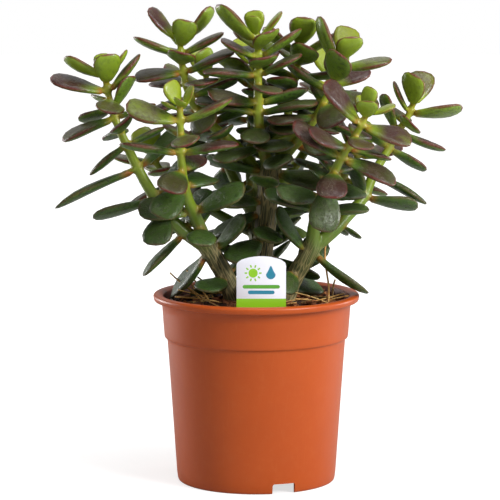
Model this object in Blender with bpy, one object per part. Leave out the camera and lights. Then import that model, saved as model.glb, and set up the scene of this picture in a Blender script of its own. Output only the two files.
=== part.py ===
"""A jade plant (Crassula ovata) in a round plastic nursery pot, built the way it grows.

Four rooted cuttings stand in potting mix. Each cutting is one branching stem that bears leaves
in opposite pairs, every pair turned about a right angle to the next. The leafy upper end of a
stem is a piece of its own, a spray, set a hair's breadth above the stem that carries it.

Lengths in the tables are millimetres. Blender's units are metres, +Z up. The origin is on the
pot's axis, at the level of the surface that the pot stands on. -Y is the front.
"""

import math
from dataclasses import dataclass

import bmesh
import bpy
import numpy as np
from mathutils import Matrix, Quaternion, Vector

MM = 0.001
GAP = 0.3  # between pieces that touch

# ---------------------------------------------------------------- driving dimensions (mm)
POT_RIM_RADIUS = 60.0  # a 12 cm pot, measured over the rolled rim
POT_HEIGHT = 110.0
POT_BASE_RADIUS = 46.2
POT_WALL = 1.2
RIM_HEIGHT = 4.2
RIM_OVERHANG = 4.9  # how far the rolled rim stands out from the band under it
BAND_HEIGHT = 26.0  # from the rim's top down to the shoulder
SHOULDER_STEP = 1.7
FOOT_HEIGHT = 6.0  # the floor's underside stands this far above the ground
FOOT_NOTCHES = 3
FOOT_NOTCH_WIDTH = 13.6
FOOT_NOTCH_TURN = 20.0  # degrees from the front, anticlockwise from above
DRAIN_HOLES = 6
DRAIN_HOLE_RADIUS = 3.5
DRAIN_RING_SHARE = 0.72  # the holes' ring, as a share of the floor's radius
POT_SIDES = 44

MIX_BELOW_RIM = 5.5
MIX_MOUND = 3.0  # the mix stands this much higher round the stems
MIX_SIDES = 32

LABEL_WIDTH = 28.0
LABEL_ABOVE_RIM = 27.6
LABEL_SHOULDER_DROP = 3.6  # from the crest of the arched top down to its corners
LABEL_HEAD_BELOW_RIM = 5.0
LABEL_STAKE_LENGTH = 48.0
LABEL_STAKE_WIDTH = 12.0
LABEL_THICKNESS = 0.7
LABEL_ASIDE = 2.7  # the label stands this far to the right of the pot's middle
LABEL_INSIDE_RIM = 14.0
LABEL_OFF_WALL = 2.0  # least room between the stake's point and the pot's inside

ROUTE_LEVEL = 9.0  # the shoots' heights are counted from this far below the rim
STEM_SIDES = 7
STEM_STEP = 9.0  # between the rings of a stem
TIP_RADIUS = 1.7
SPRAY_REACH = 43.0  # pairs nearer the tip than this belong to the spray
SPRAY_FOOT = 3.4  # stem left on a spray under its lowest pair

LEAF_MAX_WIDTH = 24.0
LEAF_WIDENING = 19.5  # the length over which a growing leaf takes on its width
LEAF_PLUMPNESS = 0.175  # thickness as a share of length
LEAF_THIN, LEAF_THICK = 2.0, 5.2  # limits of a leaf's thickness
LEAF_STATIONS = ((0.0, 0.34), (0.40, 0.80), (0.78, 1.0))  # (share of length, share of width)
LEAF_ROOTED = 0.55  # a leaf starts this share of the stem's radius off its middle
LEAF_ROLL = 24.0  # degrees, most a leaf turns about its own midrib
LEAF_SWAY = 7.0  # degrees, most a leaf stands aside of its pair's direction
LEAF_CURL_YOUNG, LEAF_CURL_GROWN = -14.0, 12.0  # degrees that the midrib bends down by its tip
GROWN_BELOW_TIP = 30.0  # leaves this far below the tip are full-grown
SEED = 12

SETTLE_ROUNDS = 200
SETTLE_CLEARANCE = 0.6
SETTLE_MAX_TURN = 3.0  # degrees a leaf gives way in one round


@dataclass(frozen=True)
class Shoot:
    """A stem from where it leaves its cutting to its end, with its leaf pairs.

    route runs through the stem's middle, its heights counted from ROUTE_LEVEL. radius is at the
    route's start; a growing shoot tapers to TIP_RADIUS. A pair is (mm below the end,
    turn of its first leaf in degrees from +X, rise of both leaves in degrees, length of both
    leaves).
    """

    name: str
    cutting: str
    route: tuple
    radius: float
    pairs: tuple
    end_radius: float = TIP_RADIUS
    growing: bool = True


SHOOTS = (
    Shoot("trunk_left", "cutting_left",
          ((-11, -9, -31), (-12, -10, -11), (-13, -10.5, 7), (-17, -12, 19), (-23, -14, 30),
           (-29, -16, 39)), 5.9, ((4.5, 8, 20, -36, 26, 40), (22, 60, 10, 4, 24, 27)), 5.4, False),
    Shoot("outer_left", "cutting_left",
          ((-27, -15.5, 37), (-46, -20, 51), (-56.5, -18, 64), (-67, -14, 81), (-75.5, -10, 98),
           (-80.7, -8, 109.5), (-85, -6, 124), (-87.5, -6, 139)), 4.6,
          ((0.8, 95, 72, 60, 10, 11), (3, 8, 52, 50, 19, 25), (7, 100, 48, 66, 16, 22),
           (12, 4, 38, 20, 28, 33), (17, 112, 0, 24, 21, 25), (22, 150, -14, 52, 22, 22),
           (28, 6, 12, -2, 24, 32), (36, 98, 0, 14, 23, 26), (45, 20, 0, -20, 25, 27),
           (60, 3, 36, -4, 34, 52), (80, -8, 30, 4, 27, 36), (90, 70, 10, -20, 24, 27),
           (106, 12, 44, -10, 27, 33))),
    Shoot("front_left", "cutting_left",
          ((-27.5, -16.5, 37), (-34.5, -26, 56), (-39.5, -34, 69), (-41.6, -40, 81),
           (-42.6, -46, 97), (-42.6, -49, 113), (-43, -50, 123)), 4.3,
          ((0.8, 105, 72, 36, 15, 9), (3, 8, 74, 30, 15, 11), (9.5, 4, 20, 15, 31, 31),
           (18, 96, 0, 0, 23, 24), (28, 0, 14, 12, 32, 34), (39, 80, 0, -6, 26, 26),
           (50, 62, 0, -10, 26, 28), (68, 6, 38, 14, 33, 30), (80, 96, 0, 6, 24, 26))),
    Shoot("trunk_centre", "cutting_centre",
          ((-3, 5, -35), (-1, 4.5, -11), (1.6, 3, 13), (3.3, 2, 31), (5.6, 1, 49), (6.8, 0, 66),
           (7.9, 0, 83)), 7.4,
          ((3, -3, -14, 8, 32, 35), (11, 78, -8, 18, 27, 26), (20, 30, 4, -6, 29, 31),
           (27, 14, 10, -22, 30, 32), (35, 100, 4, 0, 27, 29), (43, 48, 0, -10, 28, 33),
           (53, 0, -26, -20, 34, 32), (60, 76, 6, -22, 27, 28), (70, -8, -14, -13, 38, 38)), 6.0, False),
    Shoot("centre", "cutting_centre",
          ((7.9, 0, 80), (4, -3, 93), (1.6, -6, 106), (1, -8, 122), (1, -9, 136.5),
           (1, -10, 150), (-0.5, -10, 160.5)), 3.9,
          ((0.8, 75, 76, 62, 14, 12), (3.6, 6, 46, 48, 21, 30), (8.5, 105, 26, 26, 25, 24),
           (13.5, 12, 30, 20, 29, 23), (19, 100, 10, 14, 24, 25), (24, 8, 22, 14, 27, 31),
           (31, 112, 4, 6, 27, 26), (40, 20, 10, 8, 28, 30), (46, 6, 24, 14, 34, 36),
           (55, 106, 0, 2, 26, 26), (66, 28, 6, 2, 29, 31), (74, 100, 0, 0, 26, 26))),
    Shoot("centre_right", "cutting_centre",
          ((9, 1.5, 80), (15.5, 5, 92), (17.5, 9, 103.5), (19.6, 13, 120.5), (23.7, 15, 138),
           (25.6, 16, 156)), 3.4,
          ((0.8, 20, 72, 70, 11, 11), (3.4, 92, 74, 66, 21, 22), (8.5, 6, 28, 32, 28, 25),
           (14.5, 96, 16, 8, 28, 26), (22, 4, 8, 6, 28, 27), (30, 88, 4, 4, 28, 27),
           (38, 10, 0, 6, 29, 28), (48, 96, 0, 0, 28, 28), (59, 16, 0, 0, 29, 28))),
    Shoot("right_top", "cutting_centre",
          ((9.5, -0.5, 80.5), (20.6, -2, 94), (31, -6, 107.5), (38.3, -8, 119), (43.4, -9, 130.7),
           (48.5, -10, 142), (50.6, -10, 149)), 3.4,
          ((0.8, 60, 76, 70, 9, 9), (3, 82, 70, 46, 22, 22), (8, 4, 20, 55, 29, 31),
           (16, 84, 16, 38, 25, 28), (23, -8, -4, 12, 29, 29), (32, 96, 6, 0, 27, 28),
           (41, 12, 0, 4, 28, 29), (50, 112, 4, 0, 27, 28), (61, 22, 4, 0, 28, 30))),
    Shoot("top_left", "cutting_centre",
          ((5.5, 1, 71), (-9.5, 6, 92), (-28, 8, 108), (-38.4, 6, 122), (-41.8, 4, 135.6),
           (-43.8, 2, 148), (-43.8, 2, 159)), 3.9,
          ((0.8, 92, 72, 72, 10, 10), (2.8, 4, 54, 58, 26, 25), (6.4, 94, 50, 62, 17, 19),
           (11, 4, 24, 22, 27, 28), (16, 92, 8, 24, 25, 24), (22, -4, 20, 4, 32, 28),
           (29, 126, 4, 6, 27, 26), (37, 8, 6, -2, 29, 28), (46, 98, 0, 2, 28, 27),
           (57, 14, 0, 4, 30, 28), (67, 104, 0, 0, 27, 26))),
    Shoot("trunk_right", "cutting_right",
          ((14, -5, -29), (15, -5, -11), (18, -6, 9), (23.5, -8.5, 22), (29, -12, 31), (33, -14, 39)),
          5.9, ((4.5, 4, -36, 33, 40, 31), (20, 70, 0, -10, 25, 25)), 5.2, False),
    Shoot("front_right", "cutting_right",
          ((32, -14.5, 37), (33.7, -22, 54), (37.5, -30, 65), (41.3, -38, 77.5),
           (47.3, -45, 91.5), (55, -50, 105), (59.4, -53, 112.5), (62, -53, 119)), 4.2,
          ((0.8, 8, 32, 74, 16, 15), (3, 96, 62, 54, 14, 15), (8, 2, -6, 45, 29, 31),
           (16, 102, 5, 0, 21, 20), (24, 30, -4, 14, 27, 27), (31, 0, -4, 26, 33, 33),
           (41, 84, 0, -6, 26, 27), (50, 94, -10, -34, 28, 30), (60, 30, 0, 10, 27, 28),
           (70, 5, 25, 22, 27, 32))),
    Shoot("outer_right", "cutting_right",
          ((31.5, -13.5, 37), (43.7, -12, 46), (53.6, -6, 56), (62.5, 0, 64.5), (68.4, 4, 78.6),
           (76.6, 8, 91.6), (82.5, 10, 102), (88.2, 10, 110.7), (92, 10, 121)), 4.5,
          ((0.8, 50, 70, 60, 10, 10), (2.8, 80, 72, 57, 24, 23), (8, -4, 14, 58, 30, 20),
           (15, 96, 10, 6, 22, 20), (21, 0, -4, 54, 29, 23), (32, 12, -10, 24, 25, 25),
           (50, 5, -10, 18, 35, 26), (64, 0, 8, 47, 30, 30), (87, 20, -8, 30, 13, 19))),
    Shoot("trunk_back", "cutting_back",
          ((3, 27, -29), (3, 27, -9), (4, 27, 13), (1, 30, 33), (0, 33, 51)), 5.6,
          ((4.5, 10, 4, -2, 33, 33), (18, 96, -10, 0, 31, 27), (30, 30, 0, -10, 30, 32)), 5.0, False),
    Shoot("back_left", "cutting_back",
          ((-1, 33, 49), (-12, 41, 69), (-22, 46, 91), (-28, 47, 113), (-30, 47, 135)), 3.8,
          ((3.4, 120, 55, 50, 18, 19), (9, 20, 26, 24, 27, 28),
           (16, 108, 10, 14, 28, 26), (25, 12, 6, 4, 29, 29), (35, 100, 0, 0, 28, 28),
           (46, 16, 0, 0, 30, 29), (58, 104, 0, -4, 28, 28), (72, 20, 0, -4, 28, 29))),
    Shoot("back_centre", "cutting_back",
          ((0, 33, 49.5), (-3, 36, 71), (-3, 38, 93), (-3, 37, 117), (-2, 35, 143)), 3.9,
          ((3.4, 150, 55, 52, 18, 18), (9, 56, 28, 24, 26, 27),
           (17, 140, 12, 14, 27, 28), (26, 50, 6, 8, 29, 28), (36, 140, 4, 0, 28, 28),
           (48, 56, 0, 4, 28, 28), (62, 146, 0, 0, 28, 28), (76, 50, 0, 0, 28, 28))),
    Shoot("back_right", "cutting_back",
          ((1, 33, 49), (14, 40, 67), (29, 45, 87), (39, 47, 109), (44, 47, 135)), 3.8,
          ((3.4, 118, 55, 50, 19, 18), (9, 22, 26, 26, 27, 27),
           (16, 112, 12, 12, 28, 26), (25, 16, 6, 4, 29, 28), (35, 106, 0, 0, 28, 27),
           (46, 12, 0, -2, 29, 29), (58, 102, 0, -4, 28, 27), (72, 18, -4, 0, 28, 28))),
    Shoot("low_right", "cutting_back",
          ((2, 31.5, 40), (20, 37, 49), (40, 43, 61), (56, 45, 77), (64, 45, 93)), 3.5,
          ((3.4, 108, 55, 50, 18, 18), (9, 14, 24, 32, 27, 25),
           (16, 102, 8, 10, 27, 26), (25, 8, 4, 12, 28, 27), (36, 100, 0, 2, 27, 27),
           (50, 6, -4, 6, 28, 27))),
    Shoot("low_left", "cutting_back",
          ((-1, 31.5, 40), (-18, 38, 48), (-38, 44, 59), (-55, 46, 73), (-64, 45, 89)), 3.5,
          ((3.4, 110, 55, 50, 18, 18), (9, 14, 32, 24, 25, 27),
           (16, 100, 10, 8, 26, 27), (25, 8, 12, 4, 27, 28), (36, 96, 2, 0, 27, 27),
           (50, 6, 6, -4, 27, 28))),
)

ROOTS = {  # each cutting's main roots: (turn in degrees, spread, depth) from its stem's foot
    "cutting_left": ((170, 26, 34), (240, 24, 30)),
    "cutting_centre": ((135, 22, 30), (160, 18, 38)),
    "cutting_right": ((-50, 26, 34), (10, 26, 28)),
    "cutting_back": ((70, 18, 34), (120, 18, 28)),
}
ROOT_RADIUS = 1.6
ROOT_CLEARANCE = 5.0  # from a root's end to the side of the mix


# ---------------------------------------------------------------- scene and materials
def clear_scene():
    """Removes whatever the file held."""
    for found in list(bpy.data.objects):
        bpy.data.objects.remove(found)


def make_material(name, colour, roughness):
    """A Principled material with one colour."""
    made = bpy.data.materials.new(name)
    made.use_nodes = True
    shader = made.node_tree.nodes["Principled BSDF"]
    shader.inputs["Base Color"].default_value = (*colour, 1.0)
    shader.inputs["Roughness"].default_value = roughness
    shader.inputs["Metallic"].default_value = 0.0
    return made


def make_object(name, bm, material, hidden=False):
    """Turns a bmesh in millimetres into a mesh object in metres."""
    bmesh.ops.scale(bm, vec=(MM, MM, MM), verts=bm.verts)
    mesh = bpy.data.meshes.new(name)
    bm.to_mesh(mesh)
    bm.free()
    made = bpy.data.objects.new(name, mesh)
    bpy.context.scene.collection.objects.link(made)
    if material:
        mesh.materials.append(material)
    if hidden:
        made.hide_render = True
        made.display_type = "WIRE"
    return made


def boolean(target, operation, tools):
    """Joins or cuts the target with every tool, which are hidden helpers."""
    group = bpy.data.collections.new(f"{target.name}_{operation.lower()}")
    for tool in tools:
        group.objects.link(tool)
    modifier = target.modifiers.new(operation.title(), "BOOLEAN")
    modifier.operation = operation
    modifier.operand_type = "COLLECTION"
    modifier.collection = group
    modifier.solver = "EXACT"


# ---------------------------------------------------------------- tubes and turned shapes
def loft(bm, rings, tip=None):
    """Skins rings of points into one closed shell, capped by a face or drawn to a tip."""
    loops = [[bm.verts.new(p) for p in ring] for ring in rings]
    for low, high in zip(loops, loops[1:]):
        for k in range(len(low)):
            n = (k + 1) % len(low)
            bm.faces.new((low[k], low[n], high[n], high[k]))
    bm.faces.new(list(reversed(loops[0])))
    if tip is None:
        bm.faces.new(loops[-1])
    else:
        end = bm.verts.new(tip)
        for k, vert in enumerate(loops[-1]):
            bm.faces.new((vert, loops[-1][(k + 1) % len(loops[-1])], end))


def smooth_route(points, step):
    """Points about a step apart on the Catmull-Rom curve through the given ones."""
    given = [np.array(p, float) for p in points]
    given = [2 * given[0] - given[1], *given, 2 * given[-1] - given[-2]]
    found = [given[1]]
    for a, b, c, d in zip(given, given[1:], given[2:], given[3:]):
        count = max(1, round(np.linalg.norm(c - b) / step))
        for k in range(1, count + 1):
            t = k / count
            found.append(0.5 * (2 * b + (c - a) * t + (2 * a - 5 * b + 4 * c - d) * t**2
                                + (3 * b - a - 3 * c + d) * t**3))
    return np.array(found)


class Route:
    """The middle line of a stem, measured from its start."""

    def __init__(self, shoot):
        self.points = smooth_route(shoot.route, 1.0) + (0, 0, POT_HEIGHT - ROUTE_LEVEL)
        steps = np.linalg.norm(np.diff(self.points, axis=0), axis=1)
        self.run = np.concatenate([[0.0], np.cumsum(steps)])
        self.length = self.run[-1]
        self.start_radius, self.end_radius = shoot.radius, shoot.end_radius

    def at(self, run):
        """The point this far along."""
        return np.array([np.interp(run, self.run, self.points[:, k]) for k in range(3)])

    def heading(self, run):
        """The unit direction of growth this far along."""
        ahead = self.at(min(run + 1.5, self.length)) - self.at(max(run - 1.5, 0.0))
        return ahead / np.linalg.norm(ahead)

    def radius(self, run):
        """The stem thins quickly after its start and then slowly."""
        share = min(1.0, max(0.0, run / self.length))
        return self.end_radius + (self.start_radius - self.end_radius) * (1.0 - share) ** 1.2


def circle(centre, heading, radius, sides):
    """Points of a ring square to heading, anticlockwise about it."""
    side = np.cross(heading, (0.0, 1.0, 0.0))
    side /= np.linalg.norm(side)
    other = np.cross(heading, side)
    turns = [2 * math.pi * k / sides for k in range(sides)]
    return [centre + radius * (math.cos(t) * side + math.sin(t) * other) for t in turns]


def stem_tube(bm, route, start, end, grow=0.0):
    """A tapering tube along part of a route, with its skin moved out by grow."""
    count = max(2, round((end - start) / STEM_STEP))
    runs = [start + (end - start) * k / count for k in range(count + 1)]
    ends = {0: -grow, count: grow}
    rings = []
    for k, run in enumerate(runs):
        heading = route.heading(run)
        centre = route.at(run) + ends.get(k, 0.0) * heading
        rings.append(circle(centre, heading, route.radius(run) + grow, STEM_SIDES))
    loft(bm, rings)


def turned(name, profile, sides, material, hidden=False):
    """A solid turned about Z from a closed (radius, height) outline, clockwise in that plane.

    Points at radius 0 close the solid on its axis.
    """
    bm = bmesh.new()
    turns = [2 * math.pi * k / sides for k in range(sides)]
    rows = []
    for radius, height in profile:
        if radius == 0:
            rows.append([bm.verts.new((0, 0, height))])
        else:
            rows.append([bm.verts.new((radius * math.sin(t), -radius * math.cos(t), height)) for t in turns])
    pairs = list(zip(rows, rows[1:]))
    if profile[0][0] and profile[-1][0]:
        pairs.append((rows[-1], rows[0]))
    for upper, lower in pairs:
        for k in range(sides):
            n = (k + 1) % sides
            corners = [upper[k % len(upper)], lower[k % len(lower)], lower[n % len(lower)], upper[n % len(upper)]]
            corners = list(dict.fromkeys(corners))
            if len(corners) > 2:
                bm.faces.new(corners)
    bmesh.ops.recalc_face_normals(bm, faces=bm.faces)
    return make_object(name, bm, material, hidden)


# ---------------------------------------------------------------- the pot
def pot_radius(height):
    """The outer radius of the pot's tapering wall at a height."""
    band_top = POT_RIM_RADIUS - RIM_OVERHANG
    shoulder = POT_HEIGHT - BAND_HEIGHT
    under_shoulder = band_top - SHOULDER_STEP - 1.5
    if height < shoulder:
        return POT_BASE_RADIUS + (under_shoulder - POT_BASE_RADIUS) * height / shoulder
    share = (height - shoulder) / (BAND_HEIGHT - RIM_HEIGHT)
    return under_shoulder + SHOULDER_STEP + (band_top - under_shoulder - SHOULDER_STEP) * min(1.0, share)


def make_pot(material):
    """The pot: a thin tapering wall with a rolled rim, a shoulder and a raised, drained floor."""
    shoulder = POT_HEIGHT - BAND_HEIGHT
    lip = POT_RIM_RADIUS
    top = POT_HEIGHT
    rim_low = top - RIM_HEIGHT
    outer = [
        (lip - 2.4, top), (lip - 0.3, top - 0.9), (lip, top - 2.0), (lip - 1.0, rim_low),
        (pot_radius(rim_low), rim_low + 0.2), (pot_radius(shoulder + 0.1), shoulder + 0.8),
        (pot_radius(shoulder - 0.5), shoulder - 0.8), (pot_radius(2.5), 2.5),
        (pot_radius(0.0) - 0.6, 0.0), (pot_radius(0.0) - 0.6 - POT_WALL, 0.0),
        (pot_radius(0.0) - 0.6 - POT_WALL, FOOT_HEIGHT), (0, FOOT_HEIGHT),
    ]
    inner = [
        (0, FOOT_HEIGHT + POT_WALL), (mix_radius(FOOT_HEIGHT + POT_WALL) + GAP, FOOT_HEIGHT + POT_WALL),
        (pot_radius(shoulder - 1.0) - POT_WALL, shoulder - 1.0),
        (pot_radius(shoulder + 0.5) - POT_WALL, shoulder + 0.8),
        (pot_radius(rim_low) - POT_WALL, rim_low), (lip - 4.4, top - 0.3),
    ]
    # The outline is open on the axis, from the floor's underside to its top.
    pot = turned("nursery_pot", [*inner, *outer], POT_SIDES, material)
    cutters = []
    for k in range(FOOT_NOTCHES):
        turn = math.radians(FOOT_NOTCH_TURN + 360.0 * k / FOOT_NOTCHES)
        bm = bmesh.new()
        size = (FOOT_NOTCH_WIDTH, 12.0, 2 * (FOOT_HEIGHT - 0.2))
        bmesh.ops.create_cube(bm, size=1.0, matrix=Matrix.Diagonal((*size, 1.0)))
        place = Matrix.Rotation(turn, 4, "Z") @ Matrix.Translation((0, -POT_BASE_RADIUS, 0))
        bmesh.ops.transform(bm, matrix=place, verts=bm.verts)
        cutters.append(make_object(f"notch_cutter_{k}", bm, None, hidden=True))
    floor_radius = pot_radius(0.0) - POT_WALL
    for k in range(DRAIN_HOLES):
        turn = math.radians(FOOT_NOTCH_TURN + 360.0 * (k + 0.5) / DRAIN_HOLES)
        spot = floor_radius * DRAIN_RING_SHARE
        low, high = FOOT_HEIGHT - 2.0, FOOT_HEIGHT + POT_WALL + 2.0
        bm = bmesh.new()
        rings = [circle(np.array((spot * math.sin(turn), -spot * math.cos(turn), z)), np.array((0, 0, 1.0)),
                        DRAIN_HOLE_RADIUS, 10) for z in (low, high)]
        loft(bm, rings)
        cutters.append(make_object(f"drain_cutter_{k}", bm, None, hidden=True))
    boolean(pot, "DIFFERENCE", cutters)
    return pot


# ---------------------------------------------------------------- the potting mix
def mix_radius(height):
    """The radius of the potting mix, a gap inside the pot's wall."""
    return pot_radius(height) - POT_WALL - GAP


def make_mix(material, cutters):
    """The mix fills the pot to below its rim, mounds up a little, and is cut by roots and label."""
    low = FOOT_HEIGHT + POT_WALL + GAP
    shoulder = POT_HEIGHT - BAND_HEIGHT
    top = POT_HEIGHT - MIX_BELOW_RIM
    profile = [
        (0, top + MIX_MOUND), (mix_radius(top) * 0.3, top + MIX_MOUND * 0.85),
        (mix_radius(top) * 0.55, top + MIX_MOUND * 0.45), (mix_radius(top) * 0.8, top + MIX_MOUND * 0.12),
        (mix_radius(top) - 0.6, top - 0.6), (mix_radius(top) - 0.2, top - 1.6),
        (mix_radius(shoulder + 1.0) - 0.2, shoulder + 0.8), (mix_radius(shoulder - 1.5) - 0.1, shoulder - 1.2),
        (mix_radius(low) - 0.3, low), (0, low),
    ]
    mix = turned("potting_mix", profile, MIX_SIDES, material)
    boolean(mix, "DIFFERENCE", cutters)
    return mix


# ---------------------------------------------------------------- the plant label
def label_low():
    """The heights of the label's head's lower edge and of its stake's point."""
    head_low = POT_HEIGHT - LABEL_HEAD_BELOW_RIM
    return head_low, head_low - LABEL_STAKE_LENGTH


def label_depth():
    """How far forward the label's middle plane stands, as a Y: clear of the rim and of the wall."""
    wall = pot_radius(label_low()[1]) - POT_WALL
    return max(LABEL_INSIDE_RIM - POT_RIM_RADIUS, LABEL_OFF_WALL - wall)


def label_outline(grow=0.0):
    """The label's outline from the front, as (x, z): an arched head over a pointed stake."""
    half = LABEL_WIDTH / 2 + grow
    crest = POT_HEIGHT + LABEL_ABOVE_RIM + grow
    corner = crest - LABEL_SHOULDER_DROP
    head_low = label_low()[0] - grow
    stake = LABEL_STAKE_WIDTH / 2 + grow
    point = label_low()[1] - 3 * grow
    arch = [(half * math.sin(math.radians(a)) / math.sin(math.radians(60)),
             corner + LABEL_SHOULDER_DROP * (math.cos(math.radians(a)) - 0.5) / 0.5)
            for a in range(60, -61, -15)]
    right = [(1.2, point), (stake, point + 12.0), (stake, head_low - 6.0), (half, head_low)]
    left = [(-x, z) for x, z in reversed(right)]
    return [*right, *arch, *left]


def make_label(name, material, grow=0.0, hidden=False):
    """A thin upright plate facing the front."""
    bm = bmesh.new()
    half = LABEL_THICKNESS / 2 + grow
    rings = [[(LABEL_ASIDE + x, label_depth() + side * half, z) for x, z in label_outline(grow)]
             for side in (1, -1)]
    loft(bm, rings)
    bmesh.ops.recalc_face_normals(bm, faces=bm.faces)
    return make_object(name, bm, material, hidden)


# ---------------------------------------------------------------- leaves
class Leaf:
    """One leaf: where it leaves its stem, which way it grows, and its size."""

    def __init__(self, node, base, along, across, length, droop, narrow):
        self.node, self.base, self.along, self.across = node, base, along, across
        self.length, self.droop, self.narrow = length, droop, narrow
        self.width = LEAF_MAX_WIDTH * (1.0 - math.exp(-length / LEAF_WIDENING))
        self.thickness = min(LEAF_THICK, max(LEAF_THIN, LEAF_PLUMPNESS * length))

    def midrib(self, shares):
        """Points at the given shares of the leaf's length, and the leaf's own up there."""
        up = np.cross(self.along, self.across)
        fine = np.linspace(0.0, 1.0, 25)
        bend = self.droop * fine**1.3
        steps = np.outer(np.cos(bend), self.along) - np.outer(np.sin(bend), up)
        line = np.concatenate([[np.zeros(3)], np.cumsum((steps[1:] + steps[:-1]) / 2, axis=0) / 24])
        line = self.base + line * self.length
        ups = np.outer(np.cos(bend), up) + np.outer(np.sin(bend), self.along)
        shares = np.asarray(shares, float)
        at = np.stack([np.interp(shares, fine, line[:, k]) for k in range(3)], axis=1)
        normal = np.stack([np.interp(shares, fine, ups[:, k]) for k in range(3)], axis=1)
        return at, normal

    def shell(self, grow=0.0):
        """The leaf as a low, closed, four-sided body."""
        at, up = self.midrib([share for share, _ in LEAF_STATIONS] + [1.0])
        rings = []
        for (share, wide), point, normal in zip(LEAF_STATIONS, at, up):
            half = (self.narrow if share == 0 else self.width / 2 * wide) + grow
            plump = self.thickness * (0.55 if share == 0 else 1.0)
            rings.append([point + half * self.across, point + 0.45 * plump * normal,
                          point - half * self.across, point - 0.6 * plump * normal])
        bm = bmesh.new()
        loft(bm, rings, tip=at[-1])
        bmesh.ops.recalc_face_normals(bm, faces=bm.faces)
        return bm

    def spheres(self):
        """Balls that fill the leaf from a third of its length on, for keeping leaves apart."""
        shares = np.array([0.3, 0.42, 0.54, 0.66, 0.78, 0.9, 0.99])
        at, up = self.midrib(shares)
        radius = self.thickness / 2
        wide = np.interp(shares, [s for s, _ in LEAF_STATIONS] + [1.0], [w for _, w in LEAF_STATIONS] + [0.25])
        reach = np.maximum(self.width / 2 * wide - radius * 0.5, 0.0)
        spots = [at + np.outer(reach * k, self.across) for k in (-1, -0.5, 0, 0.5, 1)]
        return np.concatenate(spots) - 0.08 * self.thickness * np.concatenate([up] * 5), radius

    def turn(self, axis, angle):
        """Swings the leaf about its base."""
        spin = np.array(Quaternion(Vector(axis), angle).to_matrix())
        self.along, self.across = spin @ self.along, spin @ self.across


def grow_leaves():
    """Every leaf of the plant, in order, before neighbours push each other aside."""
    chance = np.random.default_rng(SEED)
    leaves = []
    for shoot in SHOOTS:
        route = Route(shoot)
        for below, turn, *rest in shoot.pairs:
            run = route.length - below
            heading = route.heading(run)
            upright = heading + np.array((0, 0, 0.9))
            upright /= np.linalg.norm(upright)
            sprayed = shoot.growing and below <= SPRAY_REACH
            node = f"spray_{shoot.name}" if sprayed else shoot.cutting
            for side in (0, 1):
                rise, length = math.radians(rest[side]), rest[2 + side]
                azimuth = math.radians(turn + 180 * side + chance.uniform(-LEAF_SWAY, LEAF_SWAY))
                flat = np.array((math.cos(azimuth), math.sin(azimuth), 0.0))
                flat -= upright * (flat @ upright)
                flat /= np.linalg.norm(flat)
                along = math.cos(rise) * flat + math.sin(rise) * upright
                across = np.cross(upright, along)
                across /= np.linalg.norm(across)
                roll = math.radians(chance.uniform(-LEAF_ROLL, LEAF_ROLL))
                across = np.array(Quaternion(Vector(along), roll).to_matrix()) @ across
                age = min(1.0, below / GROWN_BELOW_TIP)
                curl = LEAF_CURL_YOUNG + (LEAF_CURL_GROWN - LEAF_CURL_YOUNG) * age
                droop = math.radians(curl + chance.uniform(-5, 7))
                outward = flat - heading * (flat @ heading)
                outward /= np.linalg.norm(outward)
                base = route.at(run) + LEAF_ROOTED * route.radius(run) * outward
                narrow = 1.1 + 0.045 * length
                leaves.append(Leaf(node, base, along, across, length, droop, narrow))
    return leaves


def obstacles():
    """Balls along every stem, round the pot's rim, in the mix and on the label."""
    spots, radii = [], []
    for shoot in SHOOTS:
        route = Route(shoot)
        for run in np.arange(0.0, route.length, 3.0):
            spots.append(route.at(run))
            radii.append(route.radius(run))
    rim = POT_RIM_RADIUS - 3.0
    for k in range(72):
        turn = 2 * math.pi * k / 72
        spots.append(np.array((rim * math.cos(turn), rim * math.sin(turn), POT_HEIGHT - 3.4)))
        radii.append(4.0)
    for x in np.linspace(-0.5, 0.5, 9) * (LABEL_WIDTH - 3.0):
        for z in np.arange(POT_HEIGHT - 8, POT_HEIGHT + LABEL_ABOVE_RIM, 3.0):
            spots.append(np.array((LABEL_ASIDE + x, label_depth(), z)))
            radii.append(1.6)
    return np.array(spots), np.array(radii)


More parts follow.
